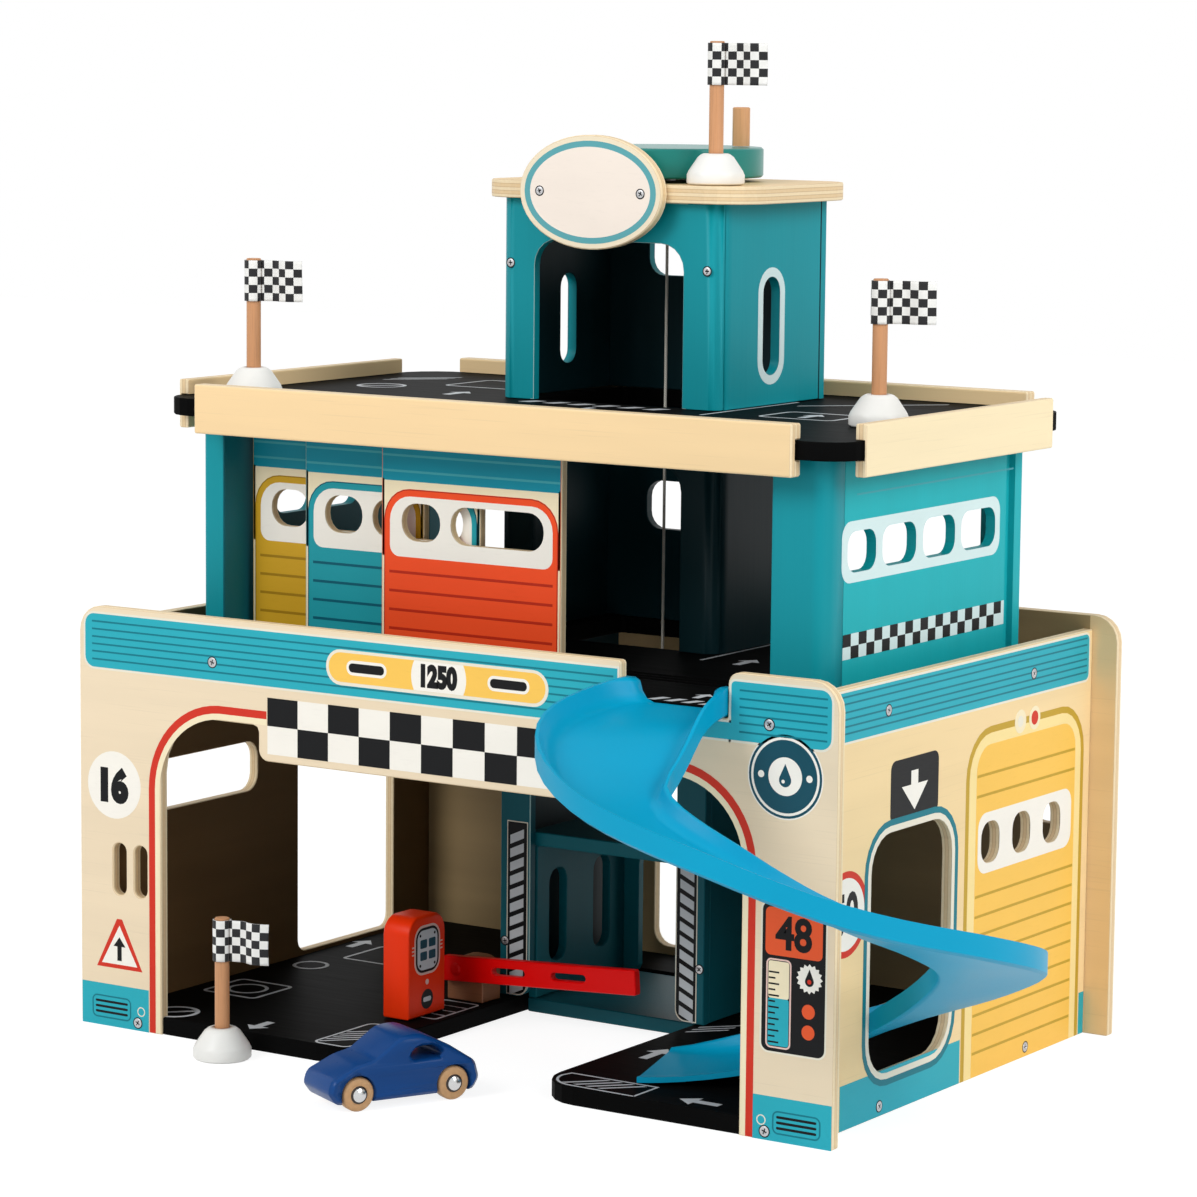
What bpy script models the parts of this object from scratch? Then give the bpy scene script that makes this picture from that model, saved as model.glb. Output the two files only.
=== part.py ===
"""Wooden toy garage with a wound lift, three sliding doors, a spiral ramp and loose pieces.

X runs to the right along the front, Y runs to the back and Z is up. The garage stands on Z = 0.
Sizes below are in millimetres and are turned into metres where the meshes are made.
"""

import math

import bmesh
import bpy
from mathutils import Matrix, Vector
from mathutils.geometry import tessellate_polygon

MM = 0.001

# Boards and fits
PLY = 5.0
PLATE = 8.0
FIT = 0.3
EDGE = 0.4
CURVE_STEPS = 5
SMALL_CURVE = 3.0
SMALL_CURVE_STEPS = 2

# Ground storey
FRONT_WIDTH = 400.0
FRONT_HEIGHT = 194.0
DEPTH = 250.0
SIDE_INSET = 12.5
SIDE_HEIGHT = 187.5
TOP_RADIUS = 12.0
FLOOR_LEVEL = 170.0

# Base plate
CUT_OUT_RADIUS = 20.0

# Arch in the front panel
ARCH_LEFT = 47.0
ARCH_RIGHT = 355.0
ARCH_TOP = 148.0
ARCH_RADIUS = 35.0
LINTEL_LOW = 132.3
LINTEL_LEFT = 103.0
LINTEL_RIGHT = 297.0

# Notch in the front panel where the ramp starts
NOTCH_LEFT = 294.0
NOTCH_RIGHT = 347.0
NOTCH_LOW = 174.5
NOTCH_LEFT_ROUND = 1.5
NOTCH_RIGHT_ROUND = 5.0

# Windows and doors of the ground storey, along Y and Z
SIDE_DOOR = (50.3, 120.4, 18.0, 121.5, 16.0)
SIDE_WINDOW_WIDTH = 17.0
SIDE_WINDOW_HEIGHT = 18.5
SIDE_WINDOW_RADIUS = 7.0
SIDE_WINDOW_FIRST = 155.0
SIDE_WINDOW_PITCH = 29.0
SIDE_WINDOW_LEVEL = 104.0
SIDE_WINDOW_COUNT = 3
LEFT_SLOT = (24.0, 109.0, 95.0, 118.6, 8.0)
LEFT_DOOR = (141.0, 219.0, 10.0, 128.0, 6.0)
BACK_DOOR = (153.0, 255.0, 12.0, 132.0, 8.0)
BACK_WINDOW_MARGIN = 20.0
BACK_WINDOW_WIDTH = 22.0
BACK_WINDOW_LOW = 96.0
BACK_WINDOW_HIGH = 119.0
BACK_WINDOW_RADIUS = 6.0
FRONT_SLOTS = ((19.0, 26.8), (31.3, 39.0))
FRONT_SLOT_LOW = 61.8
FRONT_SLOT_HIGH = 86.0
FRONT_SLOT_ROUND = 3.8

# Lift shaft; its ground storey is the gate, which is narrower
SHAFT_LEFT = 141.0
GATE_LEFT = 144.5
SHAFT_RIGHT = 261.0
SHAFT_FRONT = 129.5
SHAFT_BACK = 221.0
SHAFT_DOOR_LEFT = 161.0
SHAFT_DOOR_RIGHT = 241.0
GATE_RIGHT = 256.5
GATE_TOP = 160.0
GATE_RADIUS = 9.0
MID_DOOR_TOP = 262.0
SHAFT_RADIUS = 9.0
TOWER_DOOR_TOP = 361.0
DOORWAY_RADIUS = 12.0
WELL_GAP = 2.2

# Upper storey
UPPER_INSET = 35.0
UPPER_FRONT = 46.7
UPPER_BACK = 222.0
UPPER_HEIGHT = 101.5
POST_LEFT_WIDTH = 11.6
POST_RIGHT_WIDTH = 26.6
POST_DEPTH = 23.3
POST_RADIUS = 15.0
BACK_POST_WIDTH = 13.0
BACK_POST_DEPTH = 8.2
RECESS_WIDTH = 8.2
RECESS_DEPTH = 3.0
UPPER_WINDOWS = ((64.8, 89.0), (94.4, 123.8), (129.8, 158.6), (164.1, 195.7))
UPPER_WINDOW_LOW = 51.5
UPPER_WINDOW_HIGH = 69.0
UPPER_WINDOW_RADIUS = 6.5

# Sliding doors
DOOR_WIDTH = 96.9
DOOR_THICKNESS = 4.4
DOOR_PITCH = 5.8
DOOR_FRONT = 52.2
GROOVE_DEPTH = 2.0
DOOR_OFFSETS = {"door_red": 85.3, "door_blue": 38.2, "door_yellow": 3.4}
DOOR_WINDOW_LOW = 50.8
DOOR_WINDOW_HIGH = 67.8
DOOR_WINDOWS = ((11.2, 32.3), (37.9, 87.7))
DOOR_WINDOW_RADIUS = 8.0

# Roof deck and its parapets
DECK_SIDE = 19.5
DECK_FRONT = 34.0
DECK_BACK = 242.0
DECK_FRONT_RADIUS = 16.0
DECK_BACK_RADIUS = 25.0
PARAPET_THICKNESS = 8.0
PARAPET_SIDE_THICKNESS = 5.2
PARAPET_SLOT = 4.0
PARAPET_BELOW = 7.2
PARAPET_ABOVE = 7.1
PARAPET_END_GAP = 23.2
PARAPET_SIDE_START = 50.0
PARAPET_SIDE_END = 217.0

# Tower
TOWER_HEIGHT = 91.9
ROOF_THICKNESS = 8.0
ROOF_OVERHANG_FRONT = 5.0
ROOF_OVERHANG_BACK = 6.0
ROOF_OVERHANG_LEFT = 10.0
ROOF_OVERHANG_RIGHT = 13.5
ROOF_RADIUS = 20.0
TOWER_SLOT_LEFT = (173.9, 187.0, 13.0, 55.0)
TOWER_SLOT_RIGHT = (165.5, 180.2, 13.5, 58.0)
TOWER_WINDOW = (167.6, 238.0, 53.5, 78.0, 8.0)
MID_WINDOW = (167.6, 238.0, 43.0, 66.0, 8.0)
SIGN_CENTRE = 197.5
SIGN_LEVEL = 383.2
SIGN_HALF_WIDTH = 38.0
SIGN_HALF_HEIGHT = 25.6

# Lift cabin
CABIN_GAP = 2.4
CABIN_BOARD = 4.5
CABIN_FLOOR = 6.5
CABIN_WALL = 71.9
CABIN_LIFT_OFF = 0.5
CABIN_SLOTS = ((146.1, 160.4), (183.5, 197.4))
CABIN_SLOT_LOW = 15.0
CABIN_SLOT_HIGH = 59.0
CABIN_BACK_LEG = 8.4
CABIN_BACK_LINTEL = 11.0
CABIN_BACK_RADIUS = 8.0

# Crank on the roof and the cord
CRANK_X = 203.0
CRANK_Y = 175.0
CRANK_RADIUS = 44.0
CRANK_THICKNESS = 13.5
CRANK_GAP = 2.0
PEG_RADIUS = 4.0
PEG_LENGTH = 18.0
PEG_OFFSET = 34.5
PEG_TURN = 45.0
AXLE_RADIUS = 4.0
AXLE_CLEARANCE = 0.5
SPOOL_CORE = 9.0
SPOOL_FLANGE = 12.5
SPOOL_FLANGE_THICKNESS = 2.0
SPOOL_HEIGHT = 10.0
CORD_X = 193.3
CORD_Y = 191.0
CORD_RADIUS = 0.7
EYE_RING = 2.6
EYE_WIRE = 0.8
EYE_DROP = 10.5

# Ramp: a trough on a circle round the front right corner, then a straight tail on the base
RAMP_X = 383.0
RAMP_Y = -10.5
RAMP_OUTER = 106.0
RAMP_INNER = 61.5
RAMP_START_ANGLE = 172.0
RAMP_TURN = 295.0
RAMP_TAIL = 79.0
RAMP_TAIL_EASE = 1.6
RAMP_TAIL_FLARE_INNER = 4.0
RAMP_TAIL_FLARE_OUTER = 8.0
RAMP_SHELL = 2.2
RAMP_RAIL = 12.3
RAMP_EAR = 6.5
RAMP_STEPS = 48
RAMP_TAIL_STEPS = 8
# How far the two edges draw in near the start, over the turn in degrees
RAMP_OUTER_DRAW = ((0, 16), (19, 12.5), (31, 8), (43, 3.5), (54, 1.2), (66, 0.3), (80, 0))
RAMP_INNER_DRAW = ((0, 25.7), (15, 27.3), (30, 26.4), (40, 24.3), (50, 20.7), (60, 14.7), (68, 7.4), (75, 1.6),
                   (84, 0))
# Share of the drop that is still to come, over the turn in degrees
RAMP_FALL = ((0, 1.0), (30, 0.977), (45, 0.944), (65, 0.881), (80, 0.837), (95, 0.797), (110, 0.752),
             (125, 0.695), (140, 0.638), (155, 0.590), (172, 0.542), (196, 0.468), (215, 0.407), (234, 0.338),
             (259, 0.232), (289, 0.112), (295, 0.088))
# How far the inner edge lies below the outer one, over the turn in degrees
RAMP_BANK = ((0, 0), (30, 0.5), (60, 3), (90, 5.5), (130, 5.5), (180, 4.5), (220, 2), (250, 0.5), (295, 0))
# Height of the rails over the underside, over the turn in degrees and then the length of the tail
RAMP_INNER_RAIL = ((0, 1.0), (50, 0.86), (262, 0.86), (300, 0.5), (328, 0.24), (374, 0.23))
RAMP_OUTER_RAIL = ((0, 1.0), (50, 0.84), (230, 0.84), (295, 0.87), (335, 0.82), (374, 0.25))

# Loose pieces
PUMP_X = 128.5
PUMP_Y = 58.4
PUMP_WIDTH = 15.0
PUMP_DEPTH = 28.7
PUMP_HEIGHT = 47.2
PUMP_RADIUS = 8.5
BLOCK_X = 130.0
BLOCK_Y = 107.6
BLOCK_WIDTH = 20.0
BLOCK_DEPTH = 14.5
BLOCK_HEIGHT = 20.5
BLOCK_RADIUS = 7.0
ARM_PIVOT_X = 138.0
ARM_PIVOT_RISE = 16.0
ARM_BACK = 8.6
ARM_LENGTH = 107.5
ARM_HEIGHT = 11.7
ARM_THICKNESS = 4.2
ARM_TILT = 3.5
ARM_SLOTS = ((20.0, 38.4), (52.8, 71.9))
ARM_SLOT_HEIGHT = 3.6
PIN_RADIUS = 1.6
PIN_HEAD = 2.9
PIN_HEAD_LENGTH = 1.0
PIN_LENGTH = 9.0

# Flags
FLAG_BASE_RADIUS = 13.0
FLAG_BASE_HEIGHT = 14.0
FLAG_BORE_FLOOR = 6.0
FLAG_ROOF_IN = 10.5
FLAG_ROOF_BACK = 11.0
FLAG_LEFT_IN = 36.5
FLAG_LEFT_BACK = 23.0
FLAG_RIGHT_IN = 28.5
FLAG_RIGHT_BACK = 78.0
FLAG_GROUND_X = 96.5
FLAG_GROUND_Y = -18.0
FLAG_POLE_RADIUS = 3.3
FLAG_HEIGHT = 63.5
FLAG_CLOTH_LENGTH = 27.0
FLAG_CLOTH_HEIGHT = 18.5
FLAG_CLOTH = 0.7
FLAG_WAVE = 1.3
FLAG_CLOTH_DROP = 0.8

# Car
CAR_LENGTH = 72.0
CAR_WIDTH = 27.0
CAR_CLEARANCE = 3.6
CAR_WHEEL_BASE = 45.3
CAR_WHEEL_RADIUS = 7.4
CAR_WHEEL_WIDTH = 5.4
CAR_WHEEL_GAP = 0.9
CAR_AXLE_RADIUS = 1.5
CAR_HUB_RADIUS = 4.0
CAR_HUB_PROUD = 1.6
CAR_X = 202.1
CAR_Y = -35.2
CAR_HEADING = 243.0

# Levels that follow from the sizes above
BASE_TOP = PLATE
FLOOR_TOP = FLOOR_LEVEL + PLATE
DECK_LOW = FLOOR_TOP + UPPER_HEIGHT
DECK_TOP = DECK_LOW + PLATE
ROOF_LOW = DECK_TOP + TOWER_HEIGHT
ROOF_TOP = ROOF_LOW + ROOF_THICKNESS
CABIN_LOW = CABIN_LIFT_OFF
CABIN_FLOOR_TOP = CABIN_LOW + CABIN_FLOOR
CABIN_ROOF_LOW = CABIN_FLOOR_TOP + CABIN_WALL + 2 * FIT
CABIN_ROOF_TOP = CABIN_ROOF_LOW + CABIN_FLOOR
WELL_LEFT = GATE_LEFT + PLY + CABIN_GAP + WELL_GAP
WELL_RIGHT = GATE_RIGHT - PLY - FIT
WELL_FRONT = SHAFT_FRONT + PLY
WELL_BACK = SHAFT_BACK - PLY
CABIN_LEFT = WELL_LEFT + CABIN_GAP
CABIN_RIGHT = WELL_RIGHT - CABIN_GAP
CABIN_FRONT = WELL_FRONT + 0.7
CABIN_BACK = WELL_BACK - WELL_GAP


def clear_scene():
    for item in list(bpy.data.objects):
        bpy.data.objects.remove(item, do_unlink=True)


def material(name, colour, roughness=0.5, metallic=0.0):
    made = bpy.data.materials.new(name)
    made.use_nodes = True
    shader = made.node_tree.nodes["Principled BSDF"]
    shader.inputs["Base Color"].default_value = (*colour, 1.0)
    shader.inputs["Roughness"].default_value = roughness
    shader.inputs["Metallic"].default_value = metallic
    made.diffuse_color = (*colour, 1.0)
    return made


def rounded(corners):
    """Turn (x, y, radius) corners into an outline whose corners are arcs."""
    outline = []
    count = len(corners)
    for index, (x, y, radius) in enumerate(corners):
        here = Vector((x, y))
        if radius <= 0:
            outline.append(here)
            continue
        before = Vector(corners[index - 1][:2]) - here
        after = Vector(corners[(index + 1) % count][:2]) - here
        half = before.angle(after) / 2
        reach = min(radius / math.tan(half), before.length * 0.49, after.length * 0.49)
        size = reach * math.tan(half)
        centre = here + (before.normalized() + after.normalized()).normalized() * (size / math.sin(half))
        start = here + before.normalized() * reach - centre
        end = here + after.normalized() * reach - centre
        turn = start.angle_signed(end)
        density = CURVE_STEPS if radius > SMALL_CURVE else SMALL_CURVE_STEPS
        steps = max(SMALL_CURVE_STEPS, math.ceil(abs(turn) / (math.pi / 2) * density - 0.1))
        for step in range(steps + 1):
            outline.append(centre + Matrix.Rotation(-turn * step / steps, 2) @ start)
    return outline


def box_outline(low_u, high_u, low_v, high_v, radius=0.0):
    return rounded([(low_u, low_v, radius), (high_u, low_v, radius),
                    (high_u, high_v, radius), (low_u, high_v, radius)])


def ellipse(centre_u, centre_v, half_u, half_v, steps):
    angles = [math.tau * step / steps for step in range(steps)]
    return [Vector((centre_u + half_u * math.cos(a), centre_v + half_v * math.sin(a))) for a in angles]


def wound(outline, counter_clockwise):
    area = sum(a.cross(b) for a, b in zip(outline, outline[1:] + outline[:1]))
    return outline if (area > 0) == counter_clockwise else outline[::-1]


def inset(outline, distance):
    """Move each point of an outline to its left, into the material."""
    moved = []
    count = len(outline)
    for index, here in enumerate(outline):
        into = (here - outline[index - 1]).normalized()
        out = (outline[(index + 1) % count] - here).normalized()
        left_in = Vector((-into.y, into.x))
        left_out = Vector((-out.y, out.x))
        moved.append(here + (left_in + left_out) * (distance / (1 + left_in.dot(left_out))))
    return moved


def finish_object(name, mesh_maker, finish):
    mesh = bpy.data.meshes.new(name)
    bmesh.ops.remove_doubles(mesh_maker, verts=mesh_maker.verts, dist=0.000001)
    bmesh.ops.recalc_face_normals(mesh_maker, faces=mesh_maker.faces)
    mesh_maker.to_mesh(mesh)
    mesh_maker.free()
    made = bpy.data.objects.new(name, mesh)
    bpy.context.scene.collection.objects.link(made)
    if finish:
        mesh.materials.append(finish)
    mesh.shade_smooth()
    mesh.set_sharp_from_angle(angle=math.radians(30))
    return made


def slab(name, outline, axis, low, high, finish, holes=(), edge=EDGE):
    """A flat board from an outline with holes, its edges broken by a small chamfer."""
    place = {
        "X": lambda point, depth: Vector((depth, point.x, point.y)) * MM,
        "Y": lambda point, depth: Vector((point.x, depth, point.y)) * MM,
        "Z": lambda point, depth: Vector((point.x, point.y, depth)) * MM,
    }[axis]
    loops = [wound(list(outline), True)] + [wound(list(hole), False) for hole in holes]
    small = [inset(loop, edge) for loop in loops]
    layers = [(low, small), (low + edge, loops), (high - edge, loops), (high, small)]
    if edge <= 0:
        layers = [(low, loops), (high, loops)]
    maker = bmesh.new()
    rings = [[[maker.verts.new(place(p, depth)) for p in loop] for loop in sets] for depth, sets in layers]
    for lower, upper in zip(rings, rings[1:]):
        for low_loop, high_loop in zip(lower, upper):
            for i in range(len(low_loop)):
                maker.faces.new((low_loop[i - 1], low_loop[i], high_loop[i], high_loop[i - 1]))
    cap_loops = layers[0][1]
    triangles = tessellate_polygon([[Vector((p.x, p.y, 0)) for p in loop] for loop in cap_loops])
    for ring in (rings[0], rings[-1]):
        flat = [vert for loop in ring for vert in loop]
        for triangle in triangles:
            maker.faces.new([flat[i] for i in triangle])
    return finish_object(name, maker, finish)


def turned(name, profile, centre, finish, steps=32):
    """A turned piece round a vertical axis, from (radius, height) points that start and end on the axis."""
    maker = bmesh.new()
    rings = []
    for radius, height in profile:
        if radius <= 0:
            rings.append([maker.verts.new(Vector((centre[0], centre[1], height)) * MM)])
            continue
        angles = [math.tau * step / steps for step in range(steps)]
        rings.append([maker.verts.new(Vector((centre[0] + radius * math.cos(a),
                                              centre[1] + radius * math.sin(a), height)) * MM)
                      for a in angles])
    for lower, upper in zip(rings, rings[1:]):
        for i in range(steps):
            corners = {lower[i % len(lower)], lower[i - 1] if len(lower) > 1 else lower[0],
                       upper[i % len(upper)], upper[i - 1] if len(upper) > 1 else upper[0]}
            ordered = [v for v in (lower[i - 1] if len(lower) > 1 else lower[0], lower[i % len(lower)],
                                   upper[i % len(upper)], upper[i - 1] if len(upper) > 1 else None)
                       if v is not None and v in corners]
            maker.faces.new(list(dict.fromkeys(ordered)))
    return finish_object(name, maker, finish)


def cutter(made):
    made.hide_render = True
    made.display_type = "WIRE"
    return made


def combine(target, other, operation):
    step = target.modifiers.new(operation.title(), "BOOLEAN")
    step.operation = operation
    step.solver = "EXACT"
    step.object = cutter(other)


def pivot(made, x, y, z):
    """Put an object's origin on its joint's axis and leave its shape where it is."""
    spot = Vector((x, y, z)) * MM
    made.data.transform(Matrix.Translation(-spot))
    made.location = spot
    return made


def joint_empty(name, x, y, z):
    made = bpy.data.objects.new(name, None)
    made.location = Vector((x, y, z)) * MM
    bpy.context.scene.collection.objects.link(made)
    return made


def hang(made, parent):
    """Parent an object to a joint's empty without moving it."""
    made.parent = parent
    made.matrix_parent_inverse = Matrix.Translation(-parent.location)
    return made


def ground_storey(wood, black, inside):
    side_low = PLY + FIT
    left_face = SIDE_INSET + PLY + FIT
    right_face = FRONT_WIDTH - left_face
    base = [(left_face, DEPTH - FIT, 0), (left_face, side_low, 0), (ARCH_LEFT + FIT, side_low, 0),
            (ARCH_LEFT + FIT, 1, 0), (WELL_LEFT, 1, CUT_OUT_RADIUS), (WELL_LEFT, WELL_BACK, 2),
            (WELL_RIGHT, WELL_BACK, 2), (WELL_RIGHT, 1, CUT_OUT_RADIUS), (ARCH_RIGHT - FIT, 1, 0), (ARCH_RIGHT - FIT, side_low, 0),
            (right_face, side_low, 0), (right_face, DEPTH - FIT, 0)]
    slab("base_plate", rounded(base), "Z", 0, BASE_TOP, black)
    front = [(0, 0, 1), (ARCH_LEFT, 0, 0), (ARCH_LEFT, ARCH_TOP, ARCH_RADIUS), (LINTEL_LEFT, ARCH_TOP, 3),
             (LINTEL_LEFT, LINTEL_LOW, 5), (LINTEL_RIGHT, LINTEL_LOW, 5), (LINTEL_RIGHT, ARCH_TOP, 3),
             (ARCH_RIGHT, ARCH_TOP, ARCH_RADIUS), (ARCH_RIGHT, 0, 0), (FRONT_WIDTH, 0, 1),
             (FRONT_WIDTH, FRONT_HEIGHT, TOP_RADIUS), (NOTCH_RIGHT, FRONT_HEIGHT, NOTCH_RIGHT_ROUND),
             (NOTCH_RIGHT, NOTCH_LOW, 1), (NOTCH_LEFT, NOTCH_LOW, 1),
             (NOTCH_LEFT, FRONT_HEIGHT, NOTCH_LEFT_ROUND), (0, FRONT_HEIGHT, TOP_RADIUS)]
    slots = [box_outline(low, high, FRONT_SLOT_LOW, FRONT_SLOT_HIGH, FRONT_SLOT_ROUND)
             for low, high in FRONT_SLOTS]
    slab("front_panel", rounded(front), "Y", 0, PLY, wood, slots)
    back = [(0, 0, 1), (FRONT_WIDTH, 0, 1), (FRONT_WIDTH, FRONT_HEIGHT, TOP_RADIUS), (0, FRONT_HEIGHT, TOP_RADIUS)]
    window_end = FRONT_WIDTH - BACK_WINDOW_MARGIN
    back_window = box_outline(window_end - BACK_WINDOW_WIDTH, window_end, BACK_WINDOW_LOW, BACK_WINDOW_HIGH,
                              BACK_WINDOW_RADIUS)
    slab("back_panel", rounded(back), "Y", DEPTH, DEPTH + PLY, wood,
         [box_outline(*BACK_DOOR), back_window])
    side = box_outline(side_low, DEPTH - FIT, 0, SIDE_HEIGHT)
    windows = []
    for number in range(SIDE_WINDOW_COUNT):
        middle = SIDE_WINDOW_FIRST + number * SIDE_WINDOW_PITCH
        windows.append(box_outline(middle - SIDE_WINDOW_WIDTH / 2, middle + SIDE_WINDOW_WIDTH / 2,
                                   SIDE_WINDOW_LEVEL - SIDE_WINDOW_HEIGHT / 2,
                                   SIDE_WINDOW_LEVEL + SIDE_WINDOW_HEIGHT / 2, SIDE_WINDOW_RADIUS))
    slab("right_panel", side, "X", FRONT_WIDTH - SIDE_INSET - PLY, FRONT_WIDTH - SIDE_INSET, wood,
         [box_outline(*SIDE_DOOR)] + windows)
    slab("left_panel", side, "X", SIDE_INSET, SIDE_INSET + PLY, inside,
         [box_outline(*LEFT_SLOT), box_outline(*LEFT_DOOR)])
    floor_outline = box_outline(left_face, right_face, side_low, DEPTH - FIT)
    floor = slab("storey_floor", floor_outline, "Z", FLOOR_LEVEL, FLOOR_TOP, black, [well_outline()])
    combine(floor, door_grooves("floor_grooves", FLOOR_TOP - GROOVE_DEPTH, FLOOR_TOP + 1), "DIFFERENCE")


def well_outline():
    return box_outline(WELL_LEFT, WELL_RIGHT, WELL_FRONT, WELL_BACK, 2)


def door_track(number):
    return DOOR_FRONT + number * DOOR_PITCH


def door_grooves(name, low, high):
    """Cutters for the three grooves in which the doors slide."""
    start = UPPER_INSET + POST_LEFT_WIDTH
    end = FRONT_WIDTH - UPPER_INSET - POST_RIGHT_WIDTH
    maker = bmesh.new()
    for number in range(len(DOOR_OFFSETS)):
        front = door_track(number) - FIT
        size = Vector((end - start, DOOR_THICKNESS + 2 * FIT, high - low))
        middle = Vector((start, front, low)) + size / 2
        bmesh.ops.create_cube(maker, size=1.0, matrix=Matrix.LocRotScale(middle * MM, None, size * MM))
    return finish_object(name, maker, None)


def upper_storey(teal):
    low = FLOOR_TOP + FIT
    high = DECK_LOW - FIT
    right = FRONT_WIDTH - UPPER_INSET
    front_face = UPPER_FRONT + POST_DEPTH
    post = rounded([(right - POST_RIGHT_WIDTH, UPPER_FRONT, 1), (right, UPPER_FRONT, POST_RADIUS),
                    (right, UPPER_FRONT + POST_RADIUS, 0), (right - PLY, UPPER_FRONT + POST_RADIUS, 0),
                    (right - PLY, front_face, 0), (right - POST_RIGHT_WIDTH, front_face, 1)])
    slab("upper_post_right", post, "Z", low, high, teal)
    for name, side in (("upper_wall_left", -1), ("upper_wall_right", 1)):
        wall = slab(name, upper_wall_outline(side), "Z", low, high, teal)
        outer = FRONT_WIDTH / 2 + side * (FRONT_WIDTH / 2 - UPPER_INSET)
        for number, (start, end) in enumerate(UPPER_WINDOWS):
            window = box_outline(start, end, FLOOR_TOP + UPPER_WINDOW_LOW, FLOOR_TOP + UPPER_WINDOW_HIGH,
                                 UPPER_WINDOW_RADIUS)
            opening = slab(f"{name}_opening_{number}", window, "X", outer - 2 * PLY, outer + 2 * PLY, None, edge=0)
            combine(wall, opening, "DIFFERENCE")


def upper_wall_outline(side):
    """Plan of an upper wall with its back post, on the right (1) or on the left (-1) with a front post too."""
    outer = FRONT_WIDTH / 2 + side * (FRONT_WIDTH / 2 - UPPER_INSET)
    recess = UPPER_BACK - BACK_POST_DEPTH - RECESS_WIDTH
    front = [(PLY - FIT, UPPER_FRONT + POST_RADIUS + FIT, 0), (0, UPPER_FRONT + POST_RADIUS + FIT, 0)]
    if side < 0:
        front = [(PLY - FIT, UPPER_FRONT + POST_DEPTH, 0), (POST_LEFT_WIDTH, UPPER_FRONT + POST_DEPTH, 1),
                 (POST_LEFT_WIDTH, UPPER_FRONT, 1), (0, UPPER_FRONT, 2)]
    plan = front + [(0, recess, 0), (RECESS_DEPTH, recess, 0), (RECESS_DEPTH, recess + RECESS_WIDTH, 0),
                    (0, recess + RECESS_WIDTH, 0), (0, UPPER_BACK, 2), (BACK_POST_WIDTH, UPPER_BACK, 1),
                    (BACK_POST_WIDTH, recess, 1), (PLY - FIT, recess, 0)]
    return rounded([(outer - side * inward, y, radius) for inward, y, radius in plan])


def sliding_doors(finishes):
    start = UPPER_INSET + POST_LEFT_WIDTH
    low = FLOOR_TOP - GROOVE_DEPTH + FIT
    high = DECK_LOW + GROOVE_DEPTH - FIT
    for number, (name, offset) in enumerate(DOOR_OFFSETS.items()):
        left = start + offset
        front = door_track(number)
        holes = [box_outline(left + a, left + b, FLOOR_TOP + DOOR_WINDOW_LOW, FLOOR_TOP + DOOR_WINDOW_HIGH,
                             DOOR_WINDOW_RADIUS) for a, b in DOOR_WINDOWS]
        door = slab(name, box_outline(left, left + DOOR_WIDTH, low, high, 1), "Y",
                    front, front + DOOR_THICKNESS, finishes[name], holes)
        pivot(door, left, front, low)


def shaft_storey(prefix, low, high, finish, doorway, window, slots, back, faces=(SHAFT_LEFT, SHAFT_RIGHT)):
    """The walls of the lift shaft between two floors."""
    low += FIT
    high -= FIT
    front = slab(prefix + "_front", doorway(low, high), "Y", SHAFT_FRONT, SHAFT_FRONT + PLY - FIT, finish)
    side = box_outline(SHAFT_FRONT + PLY, SHAFT_BACK - PLY - FIT if back else SHAFT_BACK, low, high)
    for name, start, slot in (("_left", faces[0], slots[0]), ("_right", faces[1] - PLY, slots[1])):
        holes = []
        if slot:
            radius = (slot[1] - slot[0]) * 0.49
            holes = [box_outline(slot[0], slot[1], low + slot[2], low + slot[3], radius)]
        wall = slab(prefix + name, side, "X", start, start + PLY, finish, holes)
        if not back:
            continue
        way = -1 if name == "_left" else 1
        corner = corner_cutter(prefix + name + "_corner", faces[0] if way < 0 else faces[1], way, low, high)
        combine(wall, corner, "DIFFERENCE")
        combine(front, corner, "DIFFERENCE")
    if back:
        rear = box_outline(*faces, low, high)
        hole = box_outline(window[0], window[1], low + window[2], low + window[3], window[4])
        slab(prefix + "_back", rear, "Y", SHAFT_BACK - PLY, SHAFT_BACK, finish, [hole])


def corner_cutter(name, x, way, low, high):
    """What lies outside the rounded front corner of the shaft, on the left (-1) or the right (1)."""
    r = SHAFT_RADIUS
    outline = [Vector((x + way, SHAFT_FRONT + r)), Vector((x + way, SHAFT_FRONT - 1)),
               Vector((x - way * r, SHAFT_FRONT - 1))]
    for step in range(CURVE_STEPS + 1):
        a = math.pi / 2 * step / CURVE_STEPS
        outline.append(Vector((x - way * r + way * r * math.sin(a), SHAFT_FRONT + r - r * math.cos(a))))
    return slab(name, outline, "Z", low - 1, high + 1, None, edge=0)


def doorway_outline(door_top, foot_radius, faces=(SHAFT_LEFT, SHAFT_RIGHT)):
    """Outline of a shaft front: two legs and a lintel, open at the bottom."""
    def outline(low, high):
        return rounded([(faces[0], low, 0), (SHAFT_DOOR_LEFT, low, foot_radius),
                        (SHAFT_DOOR_LEFT, door_top, DOORWAY_RADIUS), (SHAFT_DOOR_RIGHT, door_top, DOORWAY_RADIUS),
                        (SHAFT_DOOR_RIGHT, low, foot_radius), (faces[1], low, 0),
                        (faces[1], high, 0), (faces[0], high, 0)])
    return outline


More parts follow.
